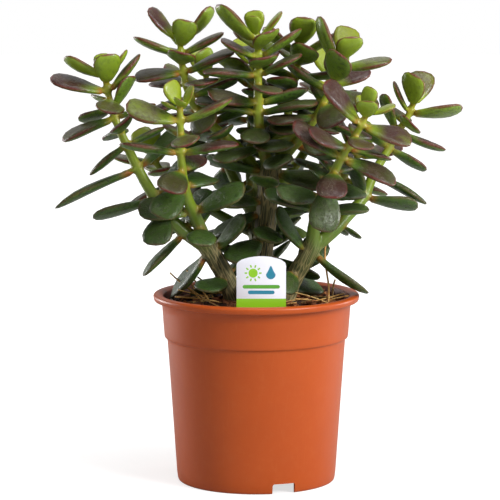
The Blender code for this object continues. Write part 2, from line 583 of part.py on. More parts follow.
def settle(leaves):
    """Lets leaves that meet give way to each other, to the stems, the pot and the mix."""
    still, still_radius = obstacles()
    floor = POT_HEIGHT - MIX_BELOW_RIM
    for _ in range(SETTLE_ROUNDS):
        made = [leaf.spheres() for leaf in leaves]
        balls = np.array([m[0] for m in made])
        radius = np.array([m[1] for m in made])
        base = np.array([leaf.base for leaf in leaves])
        middle = balls.mean(axis=1)
        reach = np.linalg.norm(balls - middle[:, None], axis=2).max(axis=1) + radius + 1.0
        push = np.zeros_like(balls)
        near = np.linalg.norm(middle[:, None] - middle[None], axis=2) < reach[:, None] + reach[None]
        first, second = np.nonzero(np.triu(near, 1))
        apart = balls[first][:, :, None] - balls[second][:, None]
        distance = np.linalg.norm(apart, axis=3)
        overlap = radius[first][:, None, None] + radius[second][:, None, None] + SETTLE_CLEARANCE - distance
        overlap = np.maximum(overlap, 0.0)
        shove = apart * (overlap / np.maximum(distance, 1e-6))[..., None] / 2
        np.add.at(push, first, shove.sum(axis=2))
        np.add.at(push, second, -shove.sum(axis=1))
        moved = overlap.max()
        for k, leaf in enumerate(leaves):
            away = np.linalg.norm(still - leaf.base, axis=1) > 0.42 * leaf.length
            close = away & (np.linalg.norm(still - middle[k], axis=1) < reach[k] + 8.0)
            if close.any():
                gap = balls[k][:, None] - still[close][None]
                distance = np.linalg.norm(gap, axis=2)
                overlap = np.maximum(radius[k] + still_radius[close] + SETTLE_CLEARANCE - distance, 0.0)
                push[k] += (gap * (overlap / np.maximum(distance, 1e-6))[..., None]).sum(axis=1)
                moved = max(moved, overlap.max())
            spot = np.hypot(balls[k][:, 0], balls[k][:, 1]) < POT_RIM_RADIUS
            mound = floor + MIX_MOUND * np.maximum(0, 1 - np.hypot(balls[k][:, 0], balls[k][:, 1]) / mix_radius(floor))
            sunk = np.maximum(mound + radius[k] + 0.4 - balls[k][:, 2], 0.0) * spot
            push[k][:, 2] += sunk
            moved = max(moved, sunk.max())
            lever = balls[k] - base[k]
            touched = np.linalg.norm(push[k], axis=1) > 0
            if touched.any():
                torque = np.cross(lever[touched], push[k][touched]).sum(axis=0)
                turn = torque / (np.linalg.norm(lever[touched], axis=1) ** 2).sum()
                angle = min(np.linalg.norm(turn), math.radians(SETTLE_MAX_TURN))
                if angle > 1e-6:
                    leaf.turn(turn / np.linalg.norm(turn), angle)
        if moved < 0.05:
            break
    return leaves


# ---------------------------------------------------------------- plant pieces
def spray_start(shoot, route):
    """Where along the route the spray's own stem begins."""
    lowest = max(below for below, *_ in shoot.pairs if below <= SPRAY_REACH)
    return route.length - lowest - SPRAY_FOOT


def stem_tubes(name, grow=0.0):
    """The tubes of one cutting: trunk first, then roots and every stem that leaves the trunk."""
    tubes = []
    for shoot in SHOOTS:
        if shoot.cutting != name:
            continue
        route = Route(shoot)
        end = spray_start(shoot, route) - GAP if shoot.growing else route.length
        bm = bmesh.new()
        stem_tube(bm, route, 0.0, end, grow)
        tubes.append(bm)
        if shoot.growing:
            continue
        for turn, spread, depth in ROOTS[name]:
            out = np.array((math.cos(math.radians(turn)), math.sin(math.radians(turn)), 0.0))
            foot = route.at(8.0)
            low = foot[2] - depth
            room = mix_radius(low) - ROOT_CLEARANCE - math.hypot(foot[0], foot[1])
            spread = min(spread, room)
            line = smooth_route([foot, foot + out * spread * 0.45 - (0, 0, depth * 0.25),
                                 foot + out * spread - (0, 0, depth)], 12.0)
            headings = np.gradient(line, axis=0)
            rings = [circle(p, h / np.linalg.norm(h), ROOT_RADIUS * (1.5 - k / len(line)) + grow, 5)
                     for k, (p, h) in enumerate(zip(line, headings))]
            bm = bmesh.new()
            loft(bm, rings)
            tubes.append(bm)
    return tubes


def joined(name, shells, material, hidden=False):
    """One piece from several closed shells, each overlapping the first or its neighbours."""
    first, *others = shells
    body = make_object(name, first, material, hidden)
    tools = [make_object(f"{name}_part_{k}", shell, None, hidden=True) for k, shell in enumerate(others)]
    boolean(body, "UNION", tools)
    return body


def make_plant(leaves, stem_material, leaf_material):
    """The four cuttings and the sprays that they carry."""
    for name in dict.fromkeys(shoot.cutting for shoot in SHOOTS):
        blades = [leaf.shell() for leaf in leaves if leaf.node == name]
        joined(name, [*stem_tubes(name), *blades], stem_material)
    for shoot in SHOOTS:
        if not shoot.growing:
            continue
        route = Route(shoot)
        stem = bmesh.new()
        stem_tube(stem, route, spray_start(shoot, route), route.length)
        node = f"spray_{shoot.name}"
        joined(node, [stem, *(leaf.shell() for leaf in leaves if leaf.node == node)], leaf_material)


def main():
    """Builds the whole object."""
    clear_scene()
    terracotta = make_material("terracotta_plastic", (0.62, 0.17, 0.05), 0.42)
    soil = make_material("potting_mix", (0.06, 0.03, 0.018), 0.95)
    card = make_material("label_plastic", (0.86, 0.87, 0.92), 0.4)
    stem = make_material("jade_stem", (0.16, 0.19, 0.06), 0.45)
    leaf = make_material("jade_leaf", (0.07, 0.16, 0.03), 0.32)
    make_pot(terracotta)
    make_label("plant_label", card)
    cutters = [make_label("label_cutter", None, grow=GAP, hidden=True)]
    for name in dict.fromkeys(shoot.cutting for shoot in SHOOTS):
        cutters.append(joined(f"{name}_cutter", stem_tubes(name, grow=GAP), None, hidden=True))
    make_mix(soil, cutters)
    make_plant(settle(grow_leaves()), stem, leaf)


if __name__ == "__main__":
    main()
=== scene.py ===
"""The look of a potted jade plant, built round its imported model.

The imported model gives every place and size: each plump leaf is measured on its faceted body and
regrown as a smooth one, the stems are fused from the bodies' own tubes, and the pot, label and
potting mix take their measures from their bodies' boxes. Lengths are metres, +Z is up, and -Y is
the front.
"""

from __future__ import annotations

import logging
import math
from dataclasses import dataclass, field
from enum import Enum

import bmesh
import bpy
import numpy as np
from mathutils import Euler, Matrix, Vector, noise
from mathutils.bvhtree import BVHTree
from mathutils.kdtree import KDTree

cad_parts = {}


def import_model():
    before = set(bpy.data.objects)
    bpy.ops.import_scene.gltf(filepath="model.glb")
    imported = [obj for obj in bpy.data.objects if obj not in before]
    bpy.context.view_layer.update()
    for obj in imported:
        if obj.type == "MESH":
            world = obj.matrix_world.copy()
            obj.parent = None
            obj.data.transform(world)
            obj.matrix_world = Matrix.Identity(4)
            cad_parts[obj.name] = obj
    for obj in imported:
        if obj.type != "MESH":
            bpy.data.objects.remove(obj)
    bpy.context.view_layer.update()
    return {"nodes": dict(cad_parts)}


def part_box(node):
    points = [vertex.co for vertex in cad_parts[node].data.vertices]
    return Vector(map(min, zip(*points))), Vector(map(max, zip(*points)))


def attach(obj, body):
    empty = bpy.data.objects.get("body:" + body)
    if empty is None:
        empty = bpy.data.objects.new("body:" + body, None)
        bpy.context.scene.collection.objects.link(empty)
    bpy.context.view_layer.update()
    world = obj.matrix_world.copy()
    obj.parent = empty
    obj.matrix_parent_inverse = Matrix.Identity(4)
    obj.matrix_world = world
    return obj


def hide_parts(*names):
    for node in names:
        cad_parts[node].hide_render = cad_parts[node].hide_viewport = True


log = logging.getLogger("jade_plant")
MM = 0.001
WELD = 2e-6  # points nearer than this are one
POT_BASE_RADIUS = 46.2 * MM
STEM_GROUND_BELOW_RIM = 9.0 * MM
LABEL_HEAD_BELOW_RIM = 5.0 * MM
Colour = tuple[float, float, float]
Outline = list[tuple[float, float]]
Socket = bpy.types.NodeSocket
Node = bpy.types.Node
NodeTree = bpy.types.NodeTree
Material = bpy.types.Material
Mesh = bpy.types.Mesh
Piece = bpy.types.Object
Chance = np.random.Generator


# --------------------------------------------------------------------------- node building
class Wiring:
    """Adds shader nodes to one tree, with the values and links of each in one call."""

    def __init__(self, tree: NodeTree) -> None:
        """Starts on a tree."""
        self.tree = tree

    def feed(self, node: Node, values: dict) -> None:
        """Sets or links a node's inputs.

        Args:
            node: the node.
            values: input name or number to a value or to a socket to link from.
        """
        for key, value in values.items():
            if isinstance(value, Socket):
                self.tree.links.new(value, node.inputs[key])
            else:
                node.inputs[key].default_value = value

    def add(self, kind: str, values: dict | None = None, **settings: object) -> Node:
        """Adds one node.

        Args:
            kind: the node's type name, without "ShaderNode".
            values: input name or number to a value or to a socket to link from.
            settings: the node's own properties.

        Returns:
            The new node.
        """
        node = self.tree.nodes.new(f"ShaderNode{kind}")
        for name, value in settings.items():
            setattr(node, name, value)
        self.feed(node, values or {})
        return node

    def math(self, operation: str, first: Socket | float, second: Socket | float,
             clamp: bool = False) -> Socket:
        """One Math node.

        Args:
            operation: the operation's name.
            first: the first operand.
            second: the second operand.
            clamp: whether the result stays from 0 to 1.

        Returns:
            The result's socket.
        """
        return self.add("Math", {0: first, 1: second}, operation=operation, use_clamp=clamp).outputs[0]

    def plus(self, first: Socket | float, second: Socket | float) -> Socket:
        """The sum of two values."""
        return self.math("ADD", first, second)

    def times(self, first: Socket | float, *others: Socket | float, clamp: bool = False) -> Socket:
        """Multiplies values.

        Args:
            first: the first value.
            others: the rest, if any.
            clamp: whether the result stays from 0 to 1.

        Returns:
            The product.
        """
        for other in others:
            first = self.math("MULTIPLY", first, other, clamp)
        return first

    def between(self, value: Socket, low: float, high: float, to_low: float = 0.0,
                to_high: float = 1.0) -> Socket:
        """A smooth step of a value between two limits.

        Args:
            value: what is read.
            low: where the step starts.
            high: where it ends.
            to_low: the result at and before low.
            to_high: the result at and after high.

        Returns:
            The result's socket.
        """
        node = self.add("MapRange", {"Value": value, "From Min": low, "From Max": high,
                                     "To Min": to_low, "To Max": to_high},
                        interpolation_type="SMOOTHSTEP")
        return node.outputs["Result"]

    def lay(self, under: Socket | Colour, over: Socket | Colour, *masks: Socket | float) -> Socket:
        """Lays one colour over another.

        Args:
            under: the colour below.
            over: the colour on top.
            masks: how much of it shows, multiplied together.

        Returns:
            The mixed colour's socket.
        """
        node = self.add("Mix", {0: self.times(*masks)}, data_type="RGBA", blend_type="MIX",
                        clamp_factor=True)
        for key, colour in ((6, under), (7, over)):
            self.feed(node, {key: colour if isinstance(colour, Socket) else (*colour, 1.0)})
        return node.outputs[2]

    def place(self) -> Socket:
        """Where a point is on its piece."""
        return self.add("TexCoord").outputs["Object"]

    def painted(self, name: str) -> list[Socket]:
        """The three numbers of a colour attribute."""
        attribute = self.add("Attribute", attribute_name=name)
        return list(self.add("SeparateColor", {0: attribute.outputs["Color"]}).outputs)

    def dress(self, shader: Node, skin: Socket, rough: Socket | float, relief: Socket,
              depth: tuple[float, float]) -> None:
        """Gives a shader its colour, roughness and relief.

        Args:
            shader: the material's shader.
            skin: its colour.
            rough: its roughness.
            relief: the height that its bump reads.
            depth: the bump's strength and distance.
        """
        bump = self.add("Bump", {"Strength": depth[0], "Distance": depth[1], "Height": relief})
        self.feed(shader, {"Base Color": skin, "Roughness": rough, "Normal": bump.outputs[0]})


def shader_group(name: str, inputs: dict[str, float], outputs: list[str]) -> tuple[Wiring, Node, Node]:
    """Starts a node group whose sockets are all numbers, after a Vector input.

    Args:
        name: the group's name.
        inputs: each number input's name and default.
        outputs: each output's name.

    Returns:
        The group's wiring, its input node and its output node.
    """
    tree = bpy.data.node_groups.new(name, "ShaderNodeTree")
    tree.interface.new_socket("Vector", in_out="INPUT", socket_type="NodeSocketVector")
    for key, value in inputs.items():
        made = tree.interface.new_socket(key, in_out="INPUT", socket_type="NodeSocketFloat")
        made.default_value = value
    for key in outputs:
        tree.interface.new_socket(key, in_out="OUTPUT", socket_type="NodeSocketFloat")
    return Wiring(tree), tree.nodes.new("NodeGroupInput"), tree.nodes.new("NodeGroupOutput")


class SurfaceEffects:
    """The node groups that several finishes share."""

    def __init__(self) -> None:
        """Builds each group once."""
        self.mottle = self._mottle()
        self.fleck = self._fleck()
        self.streak = self._streak()

    def cloud(self, wires: Wiring, place: Socket, scale: float, contrast: float) -> Socket:
        """Soft cloudy variation in a finish.

        Args:
            wires: the finish's wiring.
            place: where a point is.
            scale: how fine the cloud is.
            contrast: how strong it is.

        Returns:
            The mask.
        """
        values = {"Vector": place, "Scale": scale, "Contrast": contrast}
        return wires.add("Group", values, node_tree=self.mottle).outputs["Mask"]

    def dots(self, wires: Wiring, place: Socket, scale: float, size: float, amount: float) -> Socket:
        """Small dots in a finish.

        Args:
            wires: the finish's wiring.
            place: where a point is.
            scale: how close together they are.
            size: how much of its cell a dot fills.
            amount: how strong they are.

        Returns:
            The mask.
        """
        values = {"Vector": place, "Scale": scale, "Size": size, "Amount": amount}
        return wires.add("Group", values, node_tree=self.fleck).outputs["Mask"]

    def streaks(self, wires: Wiring, place: Socket, scale: float, stretch: float) -> list[Socket]:
        """Upright streaks in a finish.

        Args:
            wires: the finish's wiring.
            place: where a point is.
            scale: how fine they are.
            stretch: how much of that scale is left along them.

        Returns:
            The broad streaks, the fine ones and the net of lines.
        """
        values = {"Vector": place, "Scale": scale, "Stretch": stretch}
        node = wires.add("Group", values, node_tree=self.streak)
        return [node.outputs[name] for name in ("Mask", "Fine", "Net")]

    @staticmethod
    def _mottle() -> NodeTree:
        """Soft cloudy variation, centred on 0.5.

        Returns:
            The group.
        """
        wires, source, sink = shader_group("mottle", {"Scale": 60.0, "Contrast": 1.0}, ["Mask"])
        read = source.outputs
        cloud = wires.add("TexNoise", {"Vector": read["Vector"], "Scale": read["Scale"], "Detail": 5.0,
                                       "Roughness": 0.6})
        centred = wires.math("SUBTRACT", cloud.outputs["Fac"], 0.5)
        mask = wires.math("ADD", wires.times(centred, read["Contrast"]), 0.5, clamp=True)
        wires.feed(sink, {"Mask": mask})
        return wires.tree

    @staticmethod
    def _fleck() -> NodeTree:
        """Small round dots, thinned out by a coarser cloud.

        Returns:
            The group.
        """
        wires, source, sink = shader_group("fleck", {"Scale": 900.0, "Size": 0.22, "Amount": 0.5}, ["Mask"])
        read = source.outputs
        cells = wires.add("TexVoronoi", {"Vector": read["Vector"], "Scale": read["Scale"],
                                         "Randomness": 0.9})
        near = wires.math("SUBTRACT", read["Size"], cells.outputs["Distance"])
        cloud = wires.add("TexNoise", {"Vector": read["Vector"], "Scale": 140.0, "Detail": 3.0})
        kept = wires.times(wires.times(near, 9.0, clamp=True), wires.between(cloud.outputs["Fac"], 0.4, 0.62))
        wires.feed(sink, {"Mask": wires.times(kept, read["Amount"], clamp=True)})
        return wires.tree

    @staticmethod
    def _streak() -> NodeTree:
        """Long upright streaks, as in bark or drawn fibre, and a net of fine lines along them.

        Returns:
            The group.
        """
        wires, source, sink = shader_group("streak", {"Scale": 420.0, "Stretch": 0.09},
                                           ["Mask", "Fine", "Net"])
        read = source.outputs
        shape = wires.add("CombineXYZ", {0: 1.0, 1: 1.0, 2: read["Stretch"]})
        drawn = wires.add("VectorMath", {0: read["Vector"], 1: shape.outputs[0]}, operation="MULTIPLY")
        for output, share, detail in (("Mask", 1.0, 3.0), ("Fine", 2.6, 4.0)):
            grain = wires.add("TexNoise", {"Vector": drawn.outputs[0], "Detail": detail, "Roughness": 0.55,
                                           "Scale": wires.times(read["Scale"], share)})
            wires.feed(sink, {output: grain.outputs["Fac"]})
        cells = wires.add("TexVoronoi", {"Vector": drawn.outputs[0], "Scale": read["Scale"]},
                          feature="DISTANCE_TO_EDGE")
        wires.feed(sink, {"Net": wires.between(cells.outputs["Distance"], 0.11, 0.03)})
        return wires.tree


def new_material(name: str, coat: float = 0.0) -> tuple[Material, Wiring, Node]:
    """A material with one Principled shader.

    Args:
        name: the material's name.
        coat: the shader's plain coat weight.

    Returns:
        The material, its wiring and its shader.
    """
    material = bpy.data.materials.new(name)
    material.use_nodes = True
    shader = material.node_tree.nodes["Principled BSDF"]
    wires = Wiring(material.node_tree)
    wires.feed(shader, {"Coat Weight": coat})
    return material, wires, shader


# --------------------------------------------------------------------------- finishes
@dataclass(frozen=True)
class WaxyLeaf:
    """The skin of a jade leaf: lime when young, deep green later, purple above, red at the margin."""

    young: Colour = (0.420, 0.540, 0.020)
    grown: Colour = (0.072, 0.185, 0.009)
    old: Colour = (0.024, 0.078, 0.008)
    under: Colour = (0.140, 0.245, 0.026)
    varied: Colour = (0.10, 0.16, 0.014)
    shaded: Colour = (0.022, 0.050, 0.010)
    pitted: Colour = (0.016, 0.036, 0.008)
    purple: Colour = (0.047, 0.017, 0.013)
    margin: Colour = (0.110, 0.012, 0.007)
    petiole: Colour = (0.260, 0.330, 0.030)
    blush: Colour = (0.470, 0.095, 0.022)
    speck: Colour = (0.310, 0.280, 0.190)

    def build(self, effects: SurfaceEffects) -> Material:
        """Makes the material.

        Args:
            effects: the shared node groups.

        Returns:
            The material.
        """
        material, wires, shader = new_material("jade_leaf_skin", coat=0.05)
        between, times, lay = wires.between, wires.times, wires.lay
        place = wires.place()
        along, across, upper = wires.painted("leaf_form")
        age, flush, tint = wires.painted("leaf_life")
        cloud = effects.cloud(wires, place, 95.0, 1.6)
        coarse = effects.cloud(wires, place, 30.0, 1.8)
        grit = effects.cloud(wires, place, 480.0, 3.0)
        dots = effects.dots(wires, place, 1150.0, 0.30, 0.9)
        fine = effects.dots(wires, place, 2000.0, 0.36, 0.7)
        green = lay(self.young, self.grown, between(age, 0.06, 0.50))
        green = lay(green, self.old, between(age, 0.5, 0.95))
        green = lay(green, self.under, between(upper, 0.5, 0.25), between(age, 0.3, 1.0, 0.45, 0.2))
        green = lay(green, self.varied, tint, 0.30)
        green = lay(green, self.shaded, cloud, between(age, 0.05, 0.45, 0.18, 0.45))
        pits = times(between(grit, 0.45, 0.9), between(age, 0.08, 0.4, 0.08, 0.6))
        green = lay(green, self.pitted, pits)
        spread = times(flush, between(along, 0.12, 0.5), between(upper, 0.42, 0.62),
                       between(coarse, 0.1, 0.55, 0.55, 1.0), clamp=True)
        skin = lay(green, self.purple, spread, between(age, 0.6, 1.0, 1.0, 0.55))
        rim = times(between(across, 0.86, 0.98), between(along, 0.2, 0.6, 0.0, 0.95))
        rim = wires.math("MAXIMUM", rim, between(along, 0.93, 0.985), clamp=True)
        ripe = times(between(age, 0.0, 0.2, 0.75, 1.0), between(age, 0.55, 0.9, 1.0, 0.35))
        skin = lay(skin, self.margin, rim, ripe)
        skin = lay(skin, self.petiole, between(along, 0.30, 0.02), between(age, 0.5, 1.0, 0.75, 0.35))
        warm = times(between(along, 0.22, 0.02), between(age, 0.10, 0.35))
        skin = lay(skin, self.blush, warm, between(coarse, 0.25, 0.65, 0.15, 0.85))
        pale = times(wires.plus(dots, fine), between(age, 0.1, 0.5, 0.2, 0.7), clamp=True)
        sugar = wires.plus(between(age, 0.5, 0.9, 0.5, 0.18), times(spread, 0.4))
        skin = lay(skin, self.speck, pale, sugar)
        rough = wires.plus(times(cloud, 0.22), between(age, 0.15, 0.6, 0.22, 0.32))
        relief = wires.plus(times(cloud, 0.9), times(pale, 0.6))
        relief = wires.math("SUBTRACT", relief, times(pits, 0.8))
        wires.dress(shader, skin, rough, relief, (0.5, 0.8 * MM))
        wires.feed(shader, {"Specular IOR Level": 0.38, "Subsurface Weight": 0.10,
                            "Subsurface Radius": (0.5, 1.0, 0.1), "Subsurface Scale": 2.0 * MM})
        return material


@dataclass(frozen=True)
class StemBark:
    """A stem's skin: lime and smooth near the tips, grooved grey-brown bark on the trunks."""

    fresh: Colour = (0.340, 0.430, 0.018)
    firm: Colour = (0.110, 0.190, 0.013)
    lined: Colour = (0.20, 0.13, 0.03)
    dappled: Colour = (0.055, 0.090, 0.010)
    bark: Colour = (0.100, 0.088, 0.034)
    ridge: Colour = (0.420, 0.320, 0.140)
    groove: Colour = (0.026, 0.024, 0.010)
    mossy: Colour = (0.060, 0.075, 0.022)
    node: Colour = (0.450, 0.130, 0.030)

    def build(self, effects: SurfaceEffects) -> Material:
        """Makes the material.

        Args:
            effects: the shared node groups.

        Returns:
            The material.
        """
        material, wires, shader = new_material("jade_stem_bark")
        between, times, lay = wires.between, wires.times, wires.lay
        woody, joint, height = wires.painted("stem_life")
        cloud = effects.cloud(wires, wires.place(), 130.0, 1.7)
        grain = wires.add("Attribute", attribute_name="stem_grain").outputs["Vector"]
        line, fine, net = effects.streaks(wires, grain, 560.0, 0.10)
        green = lay(self.fresh, self.firm, between(height, 0.75, 0.25))
        green = lay(green, self.lined, between(line, 0.45, 0.7), 0.25)
        green = lay(green, self.dappled, cloud, 0.4)
        bark = lay(self.bark, self.groove, between(line, 0.48, 0.36))
        bark = lay(bark, self.ridge, between(fine, 0.5, 0.7), 0.3)
        bark = lay(bark, self.ridge, net, 0.8)
        bark = lay(bark, self.mossy, cloud, 0.45)
        skin = lay(green, bark, woody)
        flush = times(joint, between(height, 0.98, 0.8, 0.1, 0.55))
        skin = lay(skin, self.node, flush, between(woody, 0.6, 0.1, 0.25, 1.0))
        rough = wires.plus(times(woody, 0.38), 0.38)
        relief = times(wires.plus(line, times(fine, 0.5)), wires.plus(woody, 0.12))
        wires.dress(shader, skin, rough, relief, (0.8, 1.2 * MM))
        return material


@dataclass(frozen=True)
class TerracottaPlastic:
    """Injection-moulded plastic in a fired-clay colour, scuffed and a little dusty, its inner wall above the
    mix darkened by soil stain and painted shade.
    """

    body: Colour = (0.455, 0.074, 0.006)
    shade: Colour = (0.350, 0.051, 0.004)
    dust: Colour = (0.520, 0.150, 0.040)
    grime: Colour = (0.30, 0.10, 0.04)
    # soil stain and painted shade for the inner wall above the mix
    soil_stain_and_shade: Colour = (0.085, 0.017, 0.006)
    inner_radius: float = 54.8 * MM
    soil_line: float = 104.0 * MM

    def build(self, effects: SurfaceEffects) -> Material:
        """Makes the material.

        Args:
            effects: the shared node groups.

        Returns:
            The material.
        """
        material, wires, shader = new_material("terracotta_pot_plastic")
        between, times, lay = wires.between, wires.times, wires.lay
        place = wires.place()
        cloud = effects.cloud(wires, place, 210.0, 1.2)
        scuff = effects.streaks(wires, place, 300.0, 0.05)[1]
        skin = lay(self.body, self.shade, effects.cloud(wires, place, 22.0, 1.4), 0.75)
        skin = lay(skin, self.dust, between(cloud, 0.45, 0.8), 0.08)
        skin = lay(skin, self.dust, between(scuff, 0.58, 0.74), 0.10)
        skin = lay(skin, self.grime, effects.dots(wires, place, 420.0, 0.12, 0.6), 0.35)
        x, y, z = wires.add("SeparateXYZ", {0: place}).outputs
        flat = wires.add("CombineXYZ", {0: x, 1: y}).outputs[0]
        out = wires.add("VectorMath", {0: flat}, operation="LENGTH").outputs["Value"]
        # Inner wall above the mix: darkened by soil stain and painted shade, most near the mix and less
        # higher up.
        inside = times(between(out, self.inner_radius, self.inner_radius - 0.5 * MM),
                       between(z, self.soil_line - 4.0 * MM, self.soil_line - 3.0 * MM))
        ragged = wires.plus(z, times(cloud, 4.0 * MM))
        stain_and_shade_strength = between(ragged, self.soil_line + 8.0 * MM, self.soil_line + 4.0 * MM, 0.30, 0.92)
        skin = lay(skin, self.soil_stain_and_shade, inside, stain_and_shade_strength)
        rough = wires.plus(times(cloud, 0.16), 0.30)
        relief = wires.plus(times(cloud, 0.5), times(scuff, 0.3))
        wires.dress(shader, skin, rough, relief, (0.12, 0.4 * MM))
        wires.feed(shader, {"Specular IOR Level": 0.35})
        return material


@dataclass(frozen=True)
class CrumbledMatter:
    """A rough natural matter in two colours: peat, bark, straw or perlite."""

    name: str
    dark: Colour
    light: Colour
    scale: float
    roughness: float
    fibrous: bool = False

    def build(self, effects: SurfaceEffects) -> Material:
        """Makes the material.

        Args:
            effects: the shared node groups.

        Returns:
            The material.
        """
        material, wires, shader = new_material(self.name)
        place = wires.place()
        cloud = effects.cloud(wires, place, self.scale, 2.2)
        crumbs = wires.add("TexVoronoi", {"Vector": place, "Scale": self.scale * 3.0}).outputs["Distance"]
        if self.fibrous:
            fibre = wires.add("TexNoise", {"Vector": place, "Scale": self.scale, "Detail": 4.0})
            tone = wires.between(fibre.outputs["Fac"], 0.3, 0.7)
        else:
            tone = wires.times(cloud, wires.between(crumbs, 0.0, 0.6, 1.0, 0.35))
        skin = wires.lay(self.dark, self.light, tone)
        skin = wires.lay(skin, self.dark, wires.painted("bit_tone")[0], 0.6)
        wires.dress(shader, skin, self.roughness, wires.plus(cloud, crumbs), (0.8, 1.0 * MM))
        return material


@dataclass(frozen=True)
class PrintedCard:
    """Smooth plastic sheet in one printed colour, with faint handling marks."""

    name: str
    ink: Colour
    least_rough: float = 0.26

    def build(self, effects: SurfaceEffects) -> Material:
        """Makes the material.

        Args:
            effects: the shared node groups.

        Returns:
            The material.
        """
        material, wires, shader = new_material(self.name, coat=0.15)
        cloud = effects.cloud(wires, wires.place(), 120.0, 1.2)
        darker = tuple(part * 0.86 for part in self.ink)
        skin = wires.lay(self.ink, darker, cloud, 0.5)
        rough = wires.plus(wires.times(cloud, 0.15), self.least_rough)
        wires.dress(shader, skin, rough, cloud, (0.05, 0.3 * MM))
        return material


# --------------------------------------------------------------------------- modelling helpers
def deselect_all() -> None:
    """Leaves object mode with nothing selected."""
    if bpy.context.object and bpy.context.object.mode != "OBJECT":
        bpy.ops.object.mode_set(mode="OBJECT")
    bpy.ops.object.select_all(action="DESELECT")


def make_active(piece: Piece) -> None:
    """Selects one object alone and makes it active."""
    deselect_all()
    piece.select_set(True)
    bpy.context.view_layer.objects.active = piece


def apply_place(piece: Piece) -> None:
    """Moves the object's place, turn and size into its mesh."""
    make_active(piece)
    bpy.ops.object.transform_apply(location=True, rotation=True, scale=True)


def apply_all_modifiers(piece: Piece) -> None:
    """Applies every modifier, in order."""
    make_active(piece)
    for modifier in list(piece.modifiers):
        bpy.ops.object.modifier_apply(modifier=modifier.name)


def edit_all() -> None:
    """Opens the active piece in edit mode with everything selected."""
    bpy.ops.object.mode_set(mode="EDIT")
    bpy.ops.mesh.select_all(action="SELECT")


def close_outwards() -> None:
    """Turns every face outwards and leaves edit mode."""
    bpy.ops.mesh.select_all(action="SELECT")
    bpy.ops.mesh.normals_make_consistent(inside=False)
    bpy.ops.object.mode_set(mode="OBJECT")


def reshape(mesh: Mesh, points: np.ndarray) -> None:
    """Moves a mesh's points to new places, one row each."""
    mesh.vertices.foreach_set("co", points.ravel())
    mesh.update()


def polar(centre: tuple[float, float], radius: float, turn: float) -> tuple[float, float]:
    """The point at a distance and a turn from a centre."""
    return centre[0] + radius * math.cos(turn), centre[1] + radius * math.sin(turn)


def put_in_scene(name: str, mesh: Mesh) -> Piece:
    """Adds a mesh to the scene as an object at the origin.

    Args:
        name: the object's name.
        mesh: its mesh.

    Returns:
        The object.
    """
    piece = bpy.data.objects.new(name, mesh)
    bpy.context.scene.collection.objects.link(piece)
    return piece


def join_pieces(name: str, pieces: list[Piece]) -> Piece:
    """Joins objects into one.

    Args:
        name: the joined object's name.
        pieces: what is joined, the first one first.

    Returns:
        The joined object.
    """
    deselect_all()
    for piece in pieces:
        piece.select_set(True)
    bpy.context.view_layer.objects.active = pieces[0]
    if len(pieces) > 1:
        bpy.ops.object.join()
    pieces[0].name = pieces[0].data.name = name
    return pieces[0]


def lathe(name: str, outline: Outline, steps: int) -> Piece:
    """Spins an outline about the Z axis.

    Args:
        name: the object's name.
        outline: (radius, height) points in order; ends at radius 0 become poles.
        steps: how many steps go round.

    Returns:
        The closed solid, with its normals outwards.
    """
    deselect_all()
    first, *others = outline
    bpy.ops.mesh.primitive_plane_add(size=1.0 * MM, location=(0.0, 0.0, 0.0))
    piece = bpy.context.object
    piece.name = piece.data.name = name
    bpy.ops.object.mode_set(mode="EDIT")
    bpy.ops.mesh.select_mode(type="VERT")
    bpy.ops.mesh.select_all(action="SELECT")
    bpy.ops.mesh.merge(type="CENTER")
    bpy.ops.transform.translate(value=(first[0], 0.0, first[1]))
    at = first
    for point in others:
        bpy.ops.mesh.extrude_region_move(
            TRANSFORM_OT_translate={"value": (point[0] - at[0], 0.0, point[1] - at[1])})
        at = point
    bpy.ops.mesh.select_all(action="SELECT")
    bpy.ops.mesh.spin(steps=steps, angle=2.0 * math.pi, center=(0, 0, 0), axis=(0, 0, 1))
    bpy.ops.mesh.select_all(action="SELECT")
    bpy.ops.mesh.remove_doubles(threshold=WELD)
    close_outwards()
    return piece


def arc(centre: tuple[float, float], radius: float, start: float, end: float, count: int) -> Outline:
    """Points of an arc in the (radius, height) plane.

    Args:
        centre: the arc's centre.
        radius: its radius.
        start: its first angle in degrees.
        end: its last angle in degrees.
        count: how many points.

    Returns:
        The points, ends included.
    """
    turns = [math.radians(start + (end - start) * k / (count - 1)) for k in range(count)]
    return [polar(centre, radius, turn) for turn in turns]


def finish_piece(piece: Piece, material: Material,
                 stands_for: tuple[str, ...] = ()) -> Piece:
    """Dresses a finished piece and seats it on the object.

    Args:
        piece: the finished piece.
        material: its only material.
        stands_for: the CAD nodes it is shown in place of.

    Returns:
        The piece.
    """
    piece.data.materials.clear()
    piece.data.materials.append(material)
    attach(piece, "root")
    if stands_for:
        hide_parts(*stands_for)
    log.info("%s: %d faces", piece.name, len(piece.data.polygons))
    return piece


def paint(mesh: Mesh, name: str, values: np.ndarray) -> None:
    """Writes a colour attribute on a mesh's points.

    Args:
        mesh: the mesh.
        name: the attribute's name.
        values: one row of three numbers for each point.
    """
    attribute = mesh.attributes.get(name) or mesh.attributes.new(name, "FLOAT_COLOR", "POINT")
    rows = np.ones((len(mesh.vertices), 4), np.float32)
    rows[:, :3] = values
    attribute.data.foreach_set("color", rows.ravel())


def points_of(mesh: Mesh) -> np.ndarray:
    """The mesh's points, one row each."""
    points = np.zeros(len(mesh.vertices) * 3)
    mesh.vertices.foreach_get("co", points)
    return points.reshape(-1, 3)


